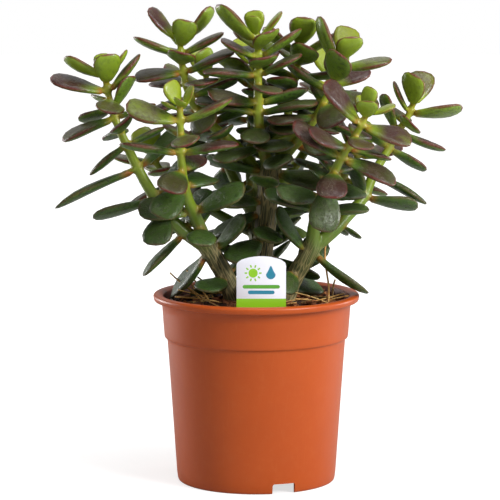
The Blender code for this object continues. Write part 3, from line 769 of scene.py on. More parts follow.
# --------------------------------------------------------------------------- leaves
@dataclass
class LeafPlan:
    """A leaf as measured on its body: its midrib's curve, its sides and its size."""

    stations: np.ndarray
    midrib: np.ndarray
    side: np.ndarray
    up: np.ndarray
    width: float
    thickness: float
    length: float = 0.0
    age: float = 1.0

    def at(self, share: np.ndarray) -> np.ndarray:
        """Points of the midrib.

        Args:
            share: shares of the length, from 0 at the stem to 1 at the tip.

        Returns:
            One point for each share.
        """
        a, b, c = self.stations
        weights = ((share - b) * (share - c) / ((a - b) * (a - c)),
                   (share - a) * (share - c) / ((b - a) * (b - c)),
                   (share - a) * (share - b) / ((c - a) * (c - b)))
        return sum(np.outer(w, p) for w, p in zip(weights, self.midrib))

    def spot(self, share: float) -> np.ndarray:
        """The midrib's point at one share of the length."""
        return self.at(np.array([share]))[0]


class LeafSurvey:
    """Finds every leaf of a CAD body and keeps the body's stem apart from its leaves."""

    STATIONS = (0.40, 0.78, 1.0)
    UNDER_RIDGE = 1.05  # a section's height as a share of the leaf's thickness
    FLATTEST = 1.35  # a leaf is at least this many times as wide as thick
    STUB = 0.15  # where a leaf is trimmed, as a share of its length
    STUB_HALF_WIDTH = 0.15  # as a share of the leaf's width
    STUB_HEIGHT = 0.62

    def __init__(self, node: Piece) -> None:
        """Reads one CAD node.

        Args:
            node: its object, which isn't changed.
        """
        self.mesh = bmesh.new()
        self.mesh.from_mesh(node.data)
        bmesh.ops.remove_doubles(self.mesh, verts=self.mesh.verts, dist=WELD)
        self.leaves: list[LeafPlan] = []
        self.parts: list[tuple[bmesh.types.BMVert, list, list]] = []
        for vert in self.mesh.verts:
            self._read(vert)

    @staticmethod
    def _ring(start: set, inner: set) -> list[bmesh.types.BMVert] | None:
        """The next four points round a leaf, in order, if they form a closed loop.

        Args:
            start: the points whose neighbours are looked at.
            inner: the points already passed.

        Returns:
            The loop, or None.
        """
        found = {e.other_vert(v) for v in start for e in v.link_edges} - start - inner
        if len(found) != 4:
            return None
        loop = [next(iter(found))]
        while len(loop) < 4:
            ahead = [e.other_vert(loop[-1]) for e in loop[-1].link_edges]
            ahead = [v for v in ahead if v in found and v not in loop]
            if not ahead:
                return None
            loop.append(ahead[0])
        closed = any(e.other_vert(loop[-1]) is loop[0] for e in loop[-1].link_edges)
        return loop if closed else None

    def _read(self, tip: bmesh.types.BMVert) -> None:
        """Adds the leaf that ends at a point, if one does.

        Args:
            tip: the point.
        """
        outer = self._ring({tip}, set())
        if outer is None:
            return
        inner = self._ring(set(outer), {tip})
        if inner is None:
            return
        middles, sides, ups, sizes = [], [], [], []
        for loop in (inner, outer):
            a, b, c, d = (np.array(v.co) for v in loop)
            if np.linalg.norm(a - c) < np.linalg.norm(b - d):
                a, b, c, d = b, c, d, a
            middle = (a + c) / 2
            upper, lower = (b, d) if np.linalg.norm(b - middle) < np.linalg.norm(d - middle) else (d, b)
            width, thickness = np.linalg.norm(a - c), np.linalg.norm(upper - lower)
            if width < self.FLATTEST * thickness:
                return
            side = (a - c) / width
            if sides and side @ sides[0] < 0:
                side = -side
            middles.append(middle)
            sides.append(side)
            ups.append((upper - lower) / thickness)
            sizes.append((width, thickness))
        end = np.array(tip.co)
        if (end - middles[1]) @ (middles[1] - middles[0]) <= 0 or ups[0] @ ups[1] < 0.3:
            return
        if np.cross(ups[0], middles[1] - middles[0]) @ sides[0] < 0:  # sides point to the leaf's left
            sides = [-side for side in sides]
        plan = LeafPlan(np.array(self.STATIONS), np.array([*middles, end]), np.array(sides), np.array(ups),
                        sizes[1][0], sizes[1][1] / self.UNDER_RIDGE)
        line = plan.at(np.linspace(0.0, 1.0, 12))
        plan.length = float(np.linalg.norm(np.diff(line, axis=0), axis=1).sum())
        self.leaves.append(plan)
        self.parts.append((tip, outer, inner))

    def stem(self) -> bmesh.types.BMesh:
        """Trims each leaf to a short swelling where it clasps the stem.

        Returns:
            The closed stem, with its joints.
        """
        for plan, (tip, outer, inner) in zip(self.leaves, self.parts):
            middle = plan.spot(self.STUB)
            centre = sum((np.array(v.co) for v in inner), np.zeros(3)) / len(inner)
            half = self.STUB_HALF_WIDTH * plan.width
            for vert in inner:
                spoke = np.array(vert.co) - centre
                wide, tall = spoke @ plan.side[0], spoke @ plan.up[0]
                place = middle + plan.side[0] * math.copysign(half, wide) * (abs(wide) > abs(tall))
                vert.co = Vector(place + plan.up[0] * tall * self.STUB_HEIGHT)
            bmesh.ops.delete(self.mesh, geom=[tip, *outer], context="VERTS")
            bmesh.ops.contextual_create(self.mesh, geom=[e for e in self.mesh.edges if e.is_boundary])
        return self.mesh


class LeafBlade:
    """The one modelled leaf, of unit length, width and thickness, that every leaf is copied from."""

    SEGMENTS = 10
    RINGS = 8
    PLACES = (1.0, 0.962, 0.875, 0.735, 0.575, 0.41, 0.245, 0.09, -0.02)
    WIDTHS = (0.0, 0.58, 0.88, 1.0, 0.965, 0.83, 0.60, 0.38, 0.0)
    HEIGHTS = (0.0, 0.36, 0.66, 0.90, 1.0, 0.97, 0.85, 0.70, 0.0)

    def build(self) -> Mesh:
        """Models the blade from a sphere whose poles become its base and its tip.

        Returns:
            Its mesh: X runs along it from 0 to 1, Y and Z reach half its width and thickness.
        """
        deselect_all()
        turn = Matrix(((0, 0, 1), (1, 0, 0), (0, 1, 0))).to_euler()
        bpy.ops.mesh.primitive_uv_sphere_add(segments=self.SEGMENTS, ring_count=self.RINGS, radius=1.0)
        blade = bpy.context.object
        blade.rotation_euler = turn
        apply_place(blade)
        bpy.ops.object.mode_set(mode="EDIT")
        bpy.ops.mesh.select_mode(type="VERT")
        rings = [[] for _ in self.PLACES]
        for vert in bmesh.from_edit_mesh(blade.data).verts:
            rings[round(math.acos(max(-1.0, min(1.0, vert.co.x))) * self.RINGS / math.pi)].append(vert.index)
        for k, members in enumerate(rings):
            bpy.ops.mesh.select_all(action="DESELECT")
            mesh = bmesh.from_edit_mesh(blade.data)
            mesh.verts.ensure_lookup_table()
            for index in members:
                mesh.verts[index].select = True
            mesh.select_flush_mode()
            bmesh.update_edit_mesh(blade.data)
            was = math.cos(math.pi * k / self.RINGS)
            reach = math.sin(math.pi * k / self.RINGS)
            if reach > 1e-6:
                bpy.ops.transform.resize(value=(1.0, self.WIDTHS[k] / reach, self.HEIGHTS[k] / reach),
                                         center_override=(was, 0.0, 0.0))
            bpy.ops.transform.translate(value=(self.PLACES[k] - was, 0.0, 0.0))
        bpy.ops.object.mode_set(mode="OBJECT")
        bpy.ops.object.shade_smooth()
        self._round_section(blade.data)
        mesh = blade.data
        bpy.data.objects.remove(blade)
        mesh.name = "leaf_blade"
        return mesh

    @staticmethod
    def _round_section(mesh: Mesh) -> None:
        """Flattens the upper face into a shallow trough and fattens the lower one.

        Args:
            mesh: the blade's mesh.
        """
        points = points_of(mesh)
        above = points[:, 2] > 0
        wide = np.abs(points[:, 1])
        form = np.stack([np.clip(points[:, 0], 0, 1), wide, 0.5 + 0.5 * np.sign(points[:, 2])], axis=1)
        reach = np.interp(points[:, 0], LeafBlade.PLACES[::-1], LeafBlade.WIDTHS[::-1])
        form[:, 1] = np.where(reach > 0.01, wide / np.maximum(reach, 0.01), 0.0)
        form[np.abs(points[:, 2]) < 1e-4, 2] = 0.5
        points[:, 2] *= np.where(above, 0.86, 1.14)
        middle = np.clip(1.0 - form[:, 1] / 0.7, 0, 1)
        points[above, 2] -= 0.10 * middle[above] * np.interp(points[above, 0], (0, 0.3, 0.8, 1), (0, 1, 1, 0))
        reshape(mesh, points)
        paint(mesh, "leaf_form", form)


@dataclass
class Foliage:
    """Every leaf of the plant, regrown smooth where its faceted one is."""

    material: Material
    blade: Mesh
    seed: int = 7
    twist: float = 0.16
    chance: Chance = field(init=False)
    form: np.ndarray = field(init=False)

    def __post_init__(self) -> None:
        """Seeds the small differences between leaves."""
        self.chance = np.random.default_rng(self.seed)
        self.form = points_of(self.blade)

    def leaf(self, plan: LeafPlan) -> Piece:
        """Bends a copy of the blade along one leaf's midrib.

        Args:
            plan: the leaf's measures.

        Returns:
            The leaf.
        """
        mesh = self.blade.copy()
        share = self.form[:, 0]
        centre = plan.at(share)
        mix = np.clip((share - 0.4) / 0.38, -0.6, 1.4)[:, None]
        side = plan.side[0] * (1 - mix) + plan.side[1] * mix
        up = plan.up[0] * (1 - mix) + plan.up[1] * mix
        side /= np.linalg.norm(side, axis=1, keepdims=True)
        up /= np.linalg.norm(up, axis=1, keepdims=True)
        turn = self.chance.uniform(-self.twist, self.twist) * np.clip(share, 0, 1)[:, None]
        side, up = side * np.cos(turn) + up * np.sin(turn), up * np.cos(turn) - side * np.sin(turn)
        cup = self.chance.uniform(-0.02, 0.09) * plan.width
        wide = self.form[:, 1:2]
        skew = 1.0 + self.chance.uniform(-0.05, 0.05) * np.sign(wide)
        high = self.form[:, 2:3] * plan.thickness * 0.52 + cup * wide**2 * np.clip(share, 0, 1)[:, None]
        wave = 0.010 * plan.width * np.sin(share * self.chance.uniform(7, 11) + self.chance.uniform(0, 6))
        high = high + (wave * np.abs(self.form[:, 1]))[:, None]
        lowered = -0.07 * plan.thickness
        reshape(mesh, centre + wide * skew * plan.width * 0.51 * side + (high + lowered) * up)
        flush = np.interp(plan.age, (0.0, 0.08, 0.19, 0.70, 0.95), (0.0, 0.30, 1.0, 0.90, 0.25))
        flush = float(np.clip(flush + self.chance.uniform(-0.24, 0.15), 0.0, 1.0))
        life = np.tile((plan.age, flush, self.chance.uniform(0, 1)), (len(mesh.vertices), 1))
        paint(mesh, "leaf_life", life)
        return put_in_scene("leaf", mesh)

    def grow(self, name: str, node: str, plans: list[LeafPlan]) -> Piece:
        """Makes the leaves of one CAD node as one piece.

        Args:
            name: the piece's name.
            node: the node it stands for.
            plans: the node's leaves.

        Returns:
            The piece.
        """
        piece = join_pieces(name, [self.leaf(plan) for plan in plans])
        return finish_piece(piece, self.material, (node,))


# --------------------------------------------------------------------------- stems
@dataclass
class Stems:
    """One cutting's branching stem, fused from the tubes of its bodies."""

    material: Material
    ground: float
    voxel: float = 0.75 * MM
    swell: float = 0.28 * MM
    woody_girth: tuple[float, float] = (8.6 * MM, 10.8 * MM)
    buried: float = 5.0 * MM
    joint_reach: float = 4.2 * MM
    blur_passes: int = 60

    def build(self, name: str, nodes: list[str], surveys: list[LeafSurvey], tip_height: float) -> Piece:
        """Makes the stem.

        Args:
            name: the piece's name.
            nodes: the CAD nodes that it stands for.
            surveys: the same nodes' leaves and stems.
            tip_height: the height of the plant's highest leaf base.

        Returns:
            The piece.
        """
        bases = [plan.spot(0.06) for survey in surveys for plan in survey.leaves]
        tubes = []
        for survey in surveys:
            mesh = bpy.data.meshes.new(f"{name}_tube")
            survey.stem().to_mesh(mesh)
            tubes.append(put_in_scene(f"{name}_tube", mesh))
        piece = join_pieces(name, tubes)
        make_active(piece)
        edit_all()
        bpy.ops.mesh.normals_make_consistent(inside=False)
        bpy.ops.transform.shrink_fatten(value=self.swell)
        bpy.ops.object.mode_set(mode="OBJECT")
        remesh = piece.modifiers.new("fuse", "REMESH")
        remesh.mode, remesh.voxel_size = "VOXEL", self.voxel
        smooth = piece.modifiers.new("soften", "SMOOTH")
        smooth.factor, smooth.iterations = 0.5, 7
        apply_all_modifiers(piece)
        edit_all()
        bpy.ops.mesh.bisect(plane_co=(0, 0, self.ground - self.buried), plane_no=(0, 0, 1),
                            use_fill=True, clear_inner=True)
        bpy.ops.object.mode_set(mode="OBJECT")
        bpy.ops.object.shade_smooth()
        self._age(piece.data, bases, tip_height)
        return finish_piece(piece, self.material, tuple(nodes))

    def _age(self, mesh: Mesh, bases: list[np.ndarray], tip_height: float) -> None:
        """Paints how woody the stem is, how near a leaf base, how high, and which way its bark runs.

        Args:
            mesh: the stem's mesh.
            bases: every leaf base.
            tip_height: the height at which stems are youngest.
        """
        points = points_of(mesh)
        normals = np.zeros(len(mesh.vertices) * 3)
        mesh.vertices.foreach_get("normal", normals)
        normals = normals.reshape(-1, 3)
        tree = BVHTree.FromPolygons([tuple(p) for p in points], [tuple(f.vertices) for f in mesh.polygons])
        girth = np.zeros(len(points))
        for k, (point, normal) in enumerate(zip(points, normals)):
            inwards = Vector(-normal)
            _, _, _, far = tree.ray_cast(Vector(point) + inwards * 2e-4, inwards, 0.03)
            girth[k] = far if far else 0.02
        edges = np.zeros(len(mesh.edges) * 2, np.int64)
        mesh.edges.foreach_get("vertices", edges)
        edges = edges.reshape(-1, 2)
        low, high = self.woody_girth
        woody = np.clip((girth - low) / (high - low), 0, 1)
        count = np.bincount(edges.ravel(), minlength=len(points)) + 1.0
        for _ in range(self.blur_passes):
            total = woody.copy()
            np.add.at(total, edges[:, 0], woody[edges[:, 1]])
            np.add.at(total, edges[:, 1], woody[edges[:, 0]])
            woody = total / count
        near = KDTree(len(bases))
        for k, base in enumerate(bases):
            near.insert(Vector(base), k)
        near.balance()
        joint = np.array([max(0.0, 1.0 - near.find(Vector(p))[2] / self.joint_reach) for p in points])
        height = np.clip((points[:, 2] - self.ground) / (tip_height - self.ground), 0, 1)
        paint(mesh, "stem_life", np.stack([np.clip(woody * 1.2, 0, 1), joint, height], axis=1))
        wooden = woody > 0.5
        trunk = points[wooden] if wooden.sum() > 50 else points
        lean = np.linalg.svd(trunk - trunk.mean(axis=0), full_matrices=False)[2][0]
        upright = Vector(lean * np.sign(lean[2])).rotation_difference(Vector((0.0, 0.0, 1.0))).to_matrix()
        grain = mesh.attributes.new("stem_grain", "FLOAT_VECTOR", "POINT")
        grain.data.foreach_set("vector", (points @ np.array(upright).T).astype(np.float32).ravel())


# --------------------------------------------------------------------------- pot
@dataclass
class NurseryPot:
    """The tapered pot with its rolled rim, stacking shoulder, foot notches and drain holes."""

    material: Material
    rim_radius: float
    height: float
    base_radius: float
    overhang: float = 4.9 * MM
    rim_height: float = 4.2 * MM
    band_height: float = 26.0 * MM
    step: float = 1.7 * MM
    wall: float = 1.2 * MM
    foot: float = 6.0 * MM
    notch_turn: float = 20.0
    notches: int = 3
    notch_width: float = 13.6 * MM
    drains: int = 6
    drain_radius: float = 3.5 * MM
    steps: int = 144

    def radius_at(self, height: float) -> float:
        """The wall's outer radius.

        Args:
            height: how high above the ground.

        Returns:
            The radius there.
        """
        band_top = self.rim_radius - self.overhang
        shoulder = self.height - self.band_height
        under = band_top - self.step - 1.5 * MM
        if height < shoulder:
            return self.base_radius + (under - self.base_radius) * height / shoulder
        share = (height - shoulder) / (self.band_height - self.rim_height)
        return under + self.step + (band_top - under - self.step) * min(1.0, share)

    def outline(self) -> Outline:
        """The wall's section, from the floor's top, up the inside, over the rim and down to the foot.

        Returns:
            (radius, height) points.
        """
        top, lip, wall, wide = self.height, self.rim_radius, self.wall, self.radius_at
        shoulder, rim_low = top - self.band_height, top - self.rim_height
        floor, sole = self.foot + wall, wide(0.0) - 0.6 * MM
        neck, low, under = wide(rim_low), wide(shoulder + 0.1 * MM), wide(shoulder - 0.5 * MM)

        def near(radius: float, height: float, *shifts: tuple[float, float]) -> Outline:
            """Points at shifts in millimetres from one point of the section."""
            return [(radius + out * MM, height + up * MM) for out, up in shifts]

        return [
            (0.0, floor), (20 * MM, floor), (38 * MM, floor),
            *near(wide(floor) - wall, floor, (-1.5, 0), (0, 1.5)), (wide(40 * MM) - wall, 40 * MM),
            (wide(shoulder - 1.5 * MM) - wall, shoulder - 1.5 * MM), (low - wall, shoulder + 0.9 * MM),
            (neck - wall, rim_low - 0.5 * MM), (neck - wall + 0.35 * MM, top - 1.4 * MM),
            *near(lip, top, (-4.3, -0.35), (-3.6, -0.06), (-2.6, 0), (-1.7, -0.08)),
            *arc((lip - 1.5 * MM, top - 1.7 * MM), 1.5 * MM, 75, -8, 6),
            *near(lip, rim_low, (-0.22, 0.9), (-0.55, 0.25), (-1.1, 0), (-2.4, 0.15)),
            *near(neck, rim_low, (0.5, 0.1), (0.08, -0.35)),
            *((wide(rim_low - down * MM), rim_low - down * MM) for down in (6, 13)),
            *near(low, shoulder, (0.1, 2.2), (0, 1.2), (-0.18, 0.65), (-0.6, 0.3)),
            *near(under, shoulder, (0.35, -0.1), (0.08, -0.7), (0, -1.8)),
            *((wide(up * MM), up * MM) for up in (70, 56, 42, 28, 14, 5)),
            *near(sole, 0.0, (0.45, 1.2), (0.15, 0.35), (-0.25, 0)),
            *near(sole - wall, 0.0, (0.2, 0), (0, 0.4)), (sole - wall, self.foot - 0.8 * MM),
            (sole - wall - 0.8 * MM, self.foot), (30 * MM, self.foot), (0.0, self.foot)]

    def _cutter(self, k: int) -> Piece:
        """Makes the block that cuts one foot notch, with rounded upper corners.

        Args:
            k: the notch's number.

        Returns:
            The block.
        """
        deselect_all()
        turn = math.radians(self.notch_turn + 360.0 * k / self.notches)
        place = (self.base_radius * math.sin(turn), -self.base_radius * math.cos(turn), 0.0)
        bpy.ops.mesh.primitive_cube_add(size=1.0, location=place, rotation=(0.0, 0.0, turn),
                                        scale=(self.notch_width, 14 * MM, 2 * (self.foot - 0.2 * MM)))
        block = bpy.context.object
        apply_place(block)
        bevel = block.modifiers.new("corner", "BEVEL")
        bevel.width, bevel.segments, bevel.limit_method = 1.1 * MM, 4, "ANGLE"
        apply_all_modifiers(block)
        return block

    def _drain(self, k: int) -> Piece:
        """Makes the rod that cuts one drain hole.

        Args:
            k: the hole's number.

        Returns:
            The rod.
        """
        deselect_all()
        turn = math.radians(self.notch_turn + 360.0 * (k + 0.5) / self.drains)
        ring = (self.base_radius - self.wall) * 0.72
        place = (ring * math.sin(turn), -ring * math.cos(turn), self.foot)
        bpy.ops.mesh.primitive_cylinder_add(vertices=28, radius=self.drain_radius, depth=8 * MM,
                                            location=place)
        rod = bpy.context.object
        apply_place(rod)
        return rod

    def build(self) -> Piece:
        """Makes the pot.

        Returns:
            The piece.
        """
        pot = lathe("pot_shell", self.outline(), self.steps)
        tools = [self._cutter(k) for k in range(self.notches)] + [self._drain(k) for k in range(self.drains)]
        for k, tool in enumerate(tools):
            cut = pot.modifiers.new(f"cut_{k}", "BOOLEAN")
            cut.operation, cut.object, cut.solver = "DIFFERENCE", tool, "EXACT"
        apply_all_modifiers(pot)
        for tool in tools:
            bpy.data.objects.remove(tool)
        make_active(pot)
        bpy.ops.object.shade_smooth_by_angle(angle=math.radians(42))
        return finish_piece(pot, self.material, ("nursery_pot",))


# --------------------------------------------------------------------------- potting mix
class Bit(Enum):
    """What lies loose on the potting mix."""

    STRAW = "straw_stalks"
    BARK = "bark_chips"
    PERLITE = "perlite_grains"
    CRUMB = "peat_crumbs"


@dataclass
class PottingMix:
    """The uneven top of the mix, and the straw, bark, perlite and crumbs that lie on it."""

    SIZES = {  # the least and most length, width and height in millimetres
        Bit.STRAW: ((16, 38), (0.55, 1.05), (0.5, 0.9)), Bit.BARK: ((4.0, 9.5), (2.4, 5.0), (1.0, 2.1)),
        Bit.PERLITE: ((1.6, 3.0),), Bit.CRUMB: ((1.0, 2.8), (0.9, 2.0), (0.8, 1.6))}
    LIFTS = {Bit.STRAW: 0.6 * MM, Bit.BARK: 0.7 * MM, Bit.PERLITE: 0.5 * MM, Bit.CRUMB: 0.3 * MM}
    matters: dict[Bit, Material]
    peat: Material
    radius: float
    low: float
    top: float
    mound: float = 3.0 * MM
    rings: int = 34
    steps: int = 120
    wall_gap: float = 0.5 * MM  # least room between a bit and the pot's wall
    seed: int = 41
    stalks: tuple = (  # long stalks, given one by one: (foot's X, foot's Y, turn, rise, length)
        (-31, -8, 146, 34, 29), (-14, -12, 151, 29, 27), (-27, -12, 138, 46, 26), (-25, -4, 100, 20, 22),
        (-40, -6, -12, 6, 24), (-34, -2, 40, 16, 26), (-20, -14, 200, 10, 30), (27, -12, 12, 10, 26),
        (47, 2, -160, 8, 34), (43, -4, 70, 52, 16), (41, -10, 95, 83, 38), (38, -6, -25, 16, 18),
        (-2, 44, 20, 16, 36), (30, 36, 200, 14, 40), (-34, 30, 250, 30, 28))

    def height_at(self, x: float, y: float) -> float:
        """The height of the mix's surface.

        Args:
            x: the place's X.
            y: the place's Y.

        Returns:
            The height there.
        """
        reach = math.hypot(x, y) / self.radius
        rise = self.mound * (0.5 + 0.5 * math.cos(math.pi * min(1.0, reach)))
        spot = Vector((x, y, 0.0))
        rough = 1.5 * noise.fractal(spot * 90, 0.8, 2.0, 4) + 0.7 * noise.noise(spot * 330)
        return self.top - self.mound + rise + rough * 0.9 * MM * min(1.0, 1.15 - reach)

    def ground(self) -> Piece:
        """Makes the body of the mix.

        Returns:
            The piece.
        """
        edge = self.radius - 0.4 * MM
        rows = [(edge * k / self.rings, self.top) for k in range(self.rings + 1)]
        rows += [(edge + 0.15 * MM, self.top - 3 * MM), (edge - 1.2 * MM, self.top - 24 * MM),
                 (edge * 0.84, self.low), (0.0, self.low)]
        piece = lathe("potting_mix_surface", rows, self.steps)
        points = points_of(piece.data)
        lifted = points[:, 2] > self.top - 1e-5
        for k in np.nonzero(lifted)[0]:
            points[k, 2] = self.height_at(points[k, 0], points[k, 1])
        reshape(piece.data, points)
        make_active(piece)
        bpy.ops.object.shade_smooth()
        return finish_piece(piece, self.peat, ("potting_mix",))

    def _master(self, kind: Bit) -> Mesh:
        """Models one bit of a kind, about a unit long.

        Args:
            kind: what it is.

        Returns:
            Its mesh.
        """
        deselect_all()
        if kind is Bit.STRAW:
            bpy.ops.mesh.primitive_cylinder_add(vertices=6, radius=0.5, depth=1.0,
                                                rotation=(0, math.pi / 2, 0))
        elif kind is Bit.BARK:
            bpy.ops.mesh.primitive_cube_add(size=1.0)
        else:
            bpy.ops.mesh.primitive_ico_sphere_add(subdivisions=1 if kind is Bit.CRUMB else 2, radius=0.5)
        bit = bpy.context.object
        apply_place(bit)
        edit_all()
        if kind is Bit.STRAW:
            for share in (-0.36, -0.18, 0.0, 0.18, 0.36):
                bpy.ops.mesh.select_all(action="SELECT")
                bpy.ops.mesh.bisect(plane_co=(share, 0, 0), plane_no=(1, 0, 0))
        elif kind is Bit.BARK:
            bpy.ops.mesh.subdivide(number_cuts=1)
            bpy.ops.mesh.select_all(action="SELECT")
            bpy.ops.transform.vertex_random(offset=0.14, uniform=0.6, normal=0.3, seed=5)
        bpy.ops.object.mode_set(mode="OBJECT")
        mesh = bit.data
        bpy.data.objects.remove(bit)
        return mesh

    def _place(self, kind: Bit, chance: Chance) -> tuple[np.ndarray, Euler, list[float]]:
        """Chooses where a bit lies, how it is turned and how big it is.

        Args:
            kind: what it is.
            chance: the source of its differences.

        Returns:
            Its place, its turn and its (length, width, height).
        """
        around, out = chance.uniform(0, 2 * math.pi), math.sqrt(chance.uniform(0.16, 0.9))
        x, y = self.radius * out * math.cos(around), self.radius * out * math.sin(around)
        tilt = chance.uniform(-0.12, 0.12)
        size = [chance.uniform(least, most) * MM for least, most in self.SIZES[kind]]
        lift = self.LIFTS[kind]
        if kind is Bit.STRAW:
            x, y = x * 0.84, y * 0.84
            tilt = chance.uniform(-0.30, 0.05)
            lift += size[0] * 0.5 * abs(math.sin(tilt))
        elif kind is Bit.BARK:
            tilt = chance.uniform(-0.45, 0.45)
        elif kind is Bit.PERLITE:
            size *= 3
        place = np.array((x, y, self.height_at(x, y) + lift))
        return place, Euler((chance.uniform(-0.5, 0.5), tilt, chance.uniform(0, 2 * math.pi))), size

    def _stalk(self, master: Mesh, route: tuple, chance: Chance) -> Piece:
        """Stands one long straw stalk in the mix.

        Args:
            master: the modelled stalk.
            route: its foot's X and Y, its turn and rise in degrees, and its length.
            chance: the source of its differences.

        Returns:
            The stalk.
        """
        x, y, turn, rise, length = route
        mesh = master.copy()
        share = points_of(master)
        points = share * (length * MM, 1.15 * MM, 0.90 * MM)
        points[:, 0] += length * MM * 0.46
        bow = chance.uniform(-0.05, 0.07) * length * MM
        points[:, 2] += bow * (0.25 - share[:, 0] ** 2) * 2
        points[:, 1] += 0.03 * length * MM * np.sin(share[:, 0] * chance.uniform(3, 6))
        turned = Euler((0.0, -math.radians(rise), math.radians(turn))).to_matrix()
        foot = (x * MM, y * MM, self.height_at(x * MM, y * MM))
        reshape(mesh, points @ np.array(turned).T + foot)
        paint(mesh, "bit_tone", np.tile((chance.uniform(0, 0.7), 0, 0), (len(points), 1)))
        return put_in_scene("stalk", mesh)

    def scatter(self, kind: Bit, count: int) -> Piece:
        """Strews one kind of bit over the mix.

        Args:
            kind: what is strewn.
            count: how many.

        Returns:
            The piece.
        """
        chance = np.random.default_rng(self.seed + len(kind.value))
        master = self._master(kind)
        form = points_of(master)
        bits = []
        for _ in range(count):
            place, turn, size = self._place(kind, chance)
            mesh = master.copy()
            points = form * size
            if kind is Bit.STRAW:
                bow = chance.uniform(-0.09, 0.12) * size[0]
                points[:, 2] += bow * (0.25 - (form[:, 0]) ** 2) * 2
                points[:, 1] += chance.uniform(-0.08, 0.08) * size[0] * np.sin(form[:, 0] * 4)
                points[:, 1:] *= np.interp(form[:, 0], (-0.5, 0.5), (1.0, 0.65))[:, None]
            else:
                points = points * (1 + chance.uniform(-0.22, 0.22, (len(points), 1)))
            points = points @ np.array(turn.to_matrix()).T + place
            inside = np.hypot(points[:, 0], points[:, 1]).max()
            if inside > self.radius - self.wall_gap:
                points[:, :2] *= (self.radius - self.wall_gap) / inside
            reshape(mesh, points)
            paint(mesh, "bit_tone", np.tile((chance.uniform(0, 1), 0, 0), (len(points), 1)))
            bits.append(put_in_scene("bit", mesh))
        if kind is Bit.STRAW:
            bits += [self._stalk(master, route, chance) for route in self.stalks]
        piece = join_pieces(kind.value, bits)
        make_active(piece)
        if kind is Bit.STRAW:
            bpy.ops.object.shade_smooth()
        return finish_piece(piece, self.matters[kind])


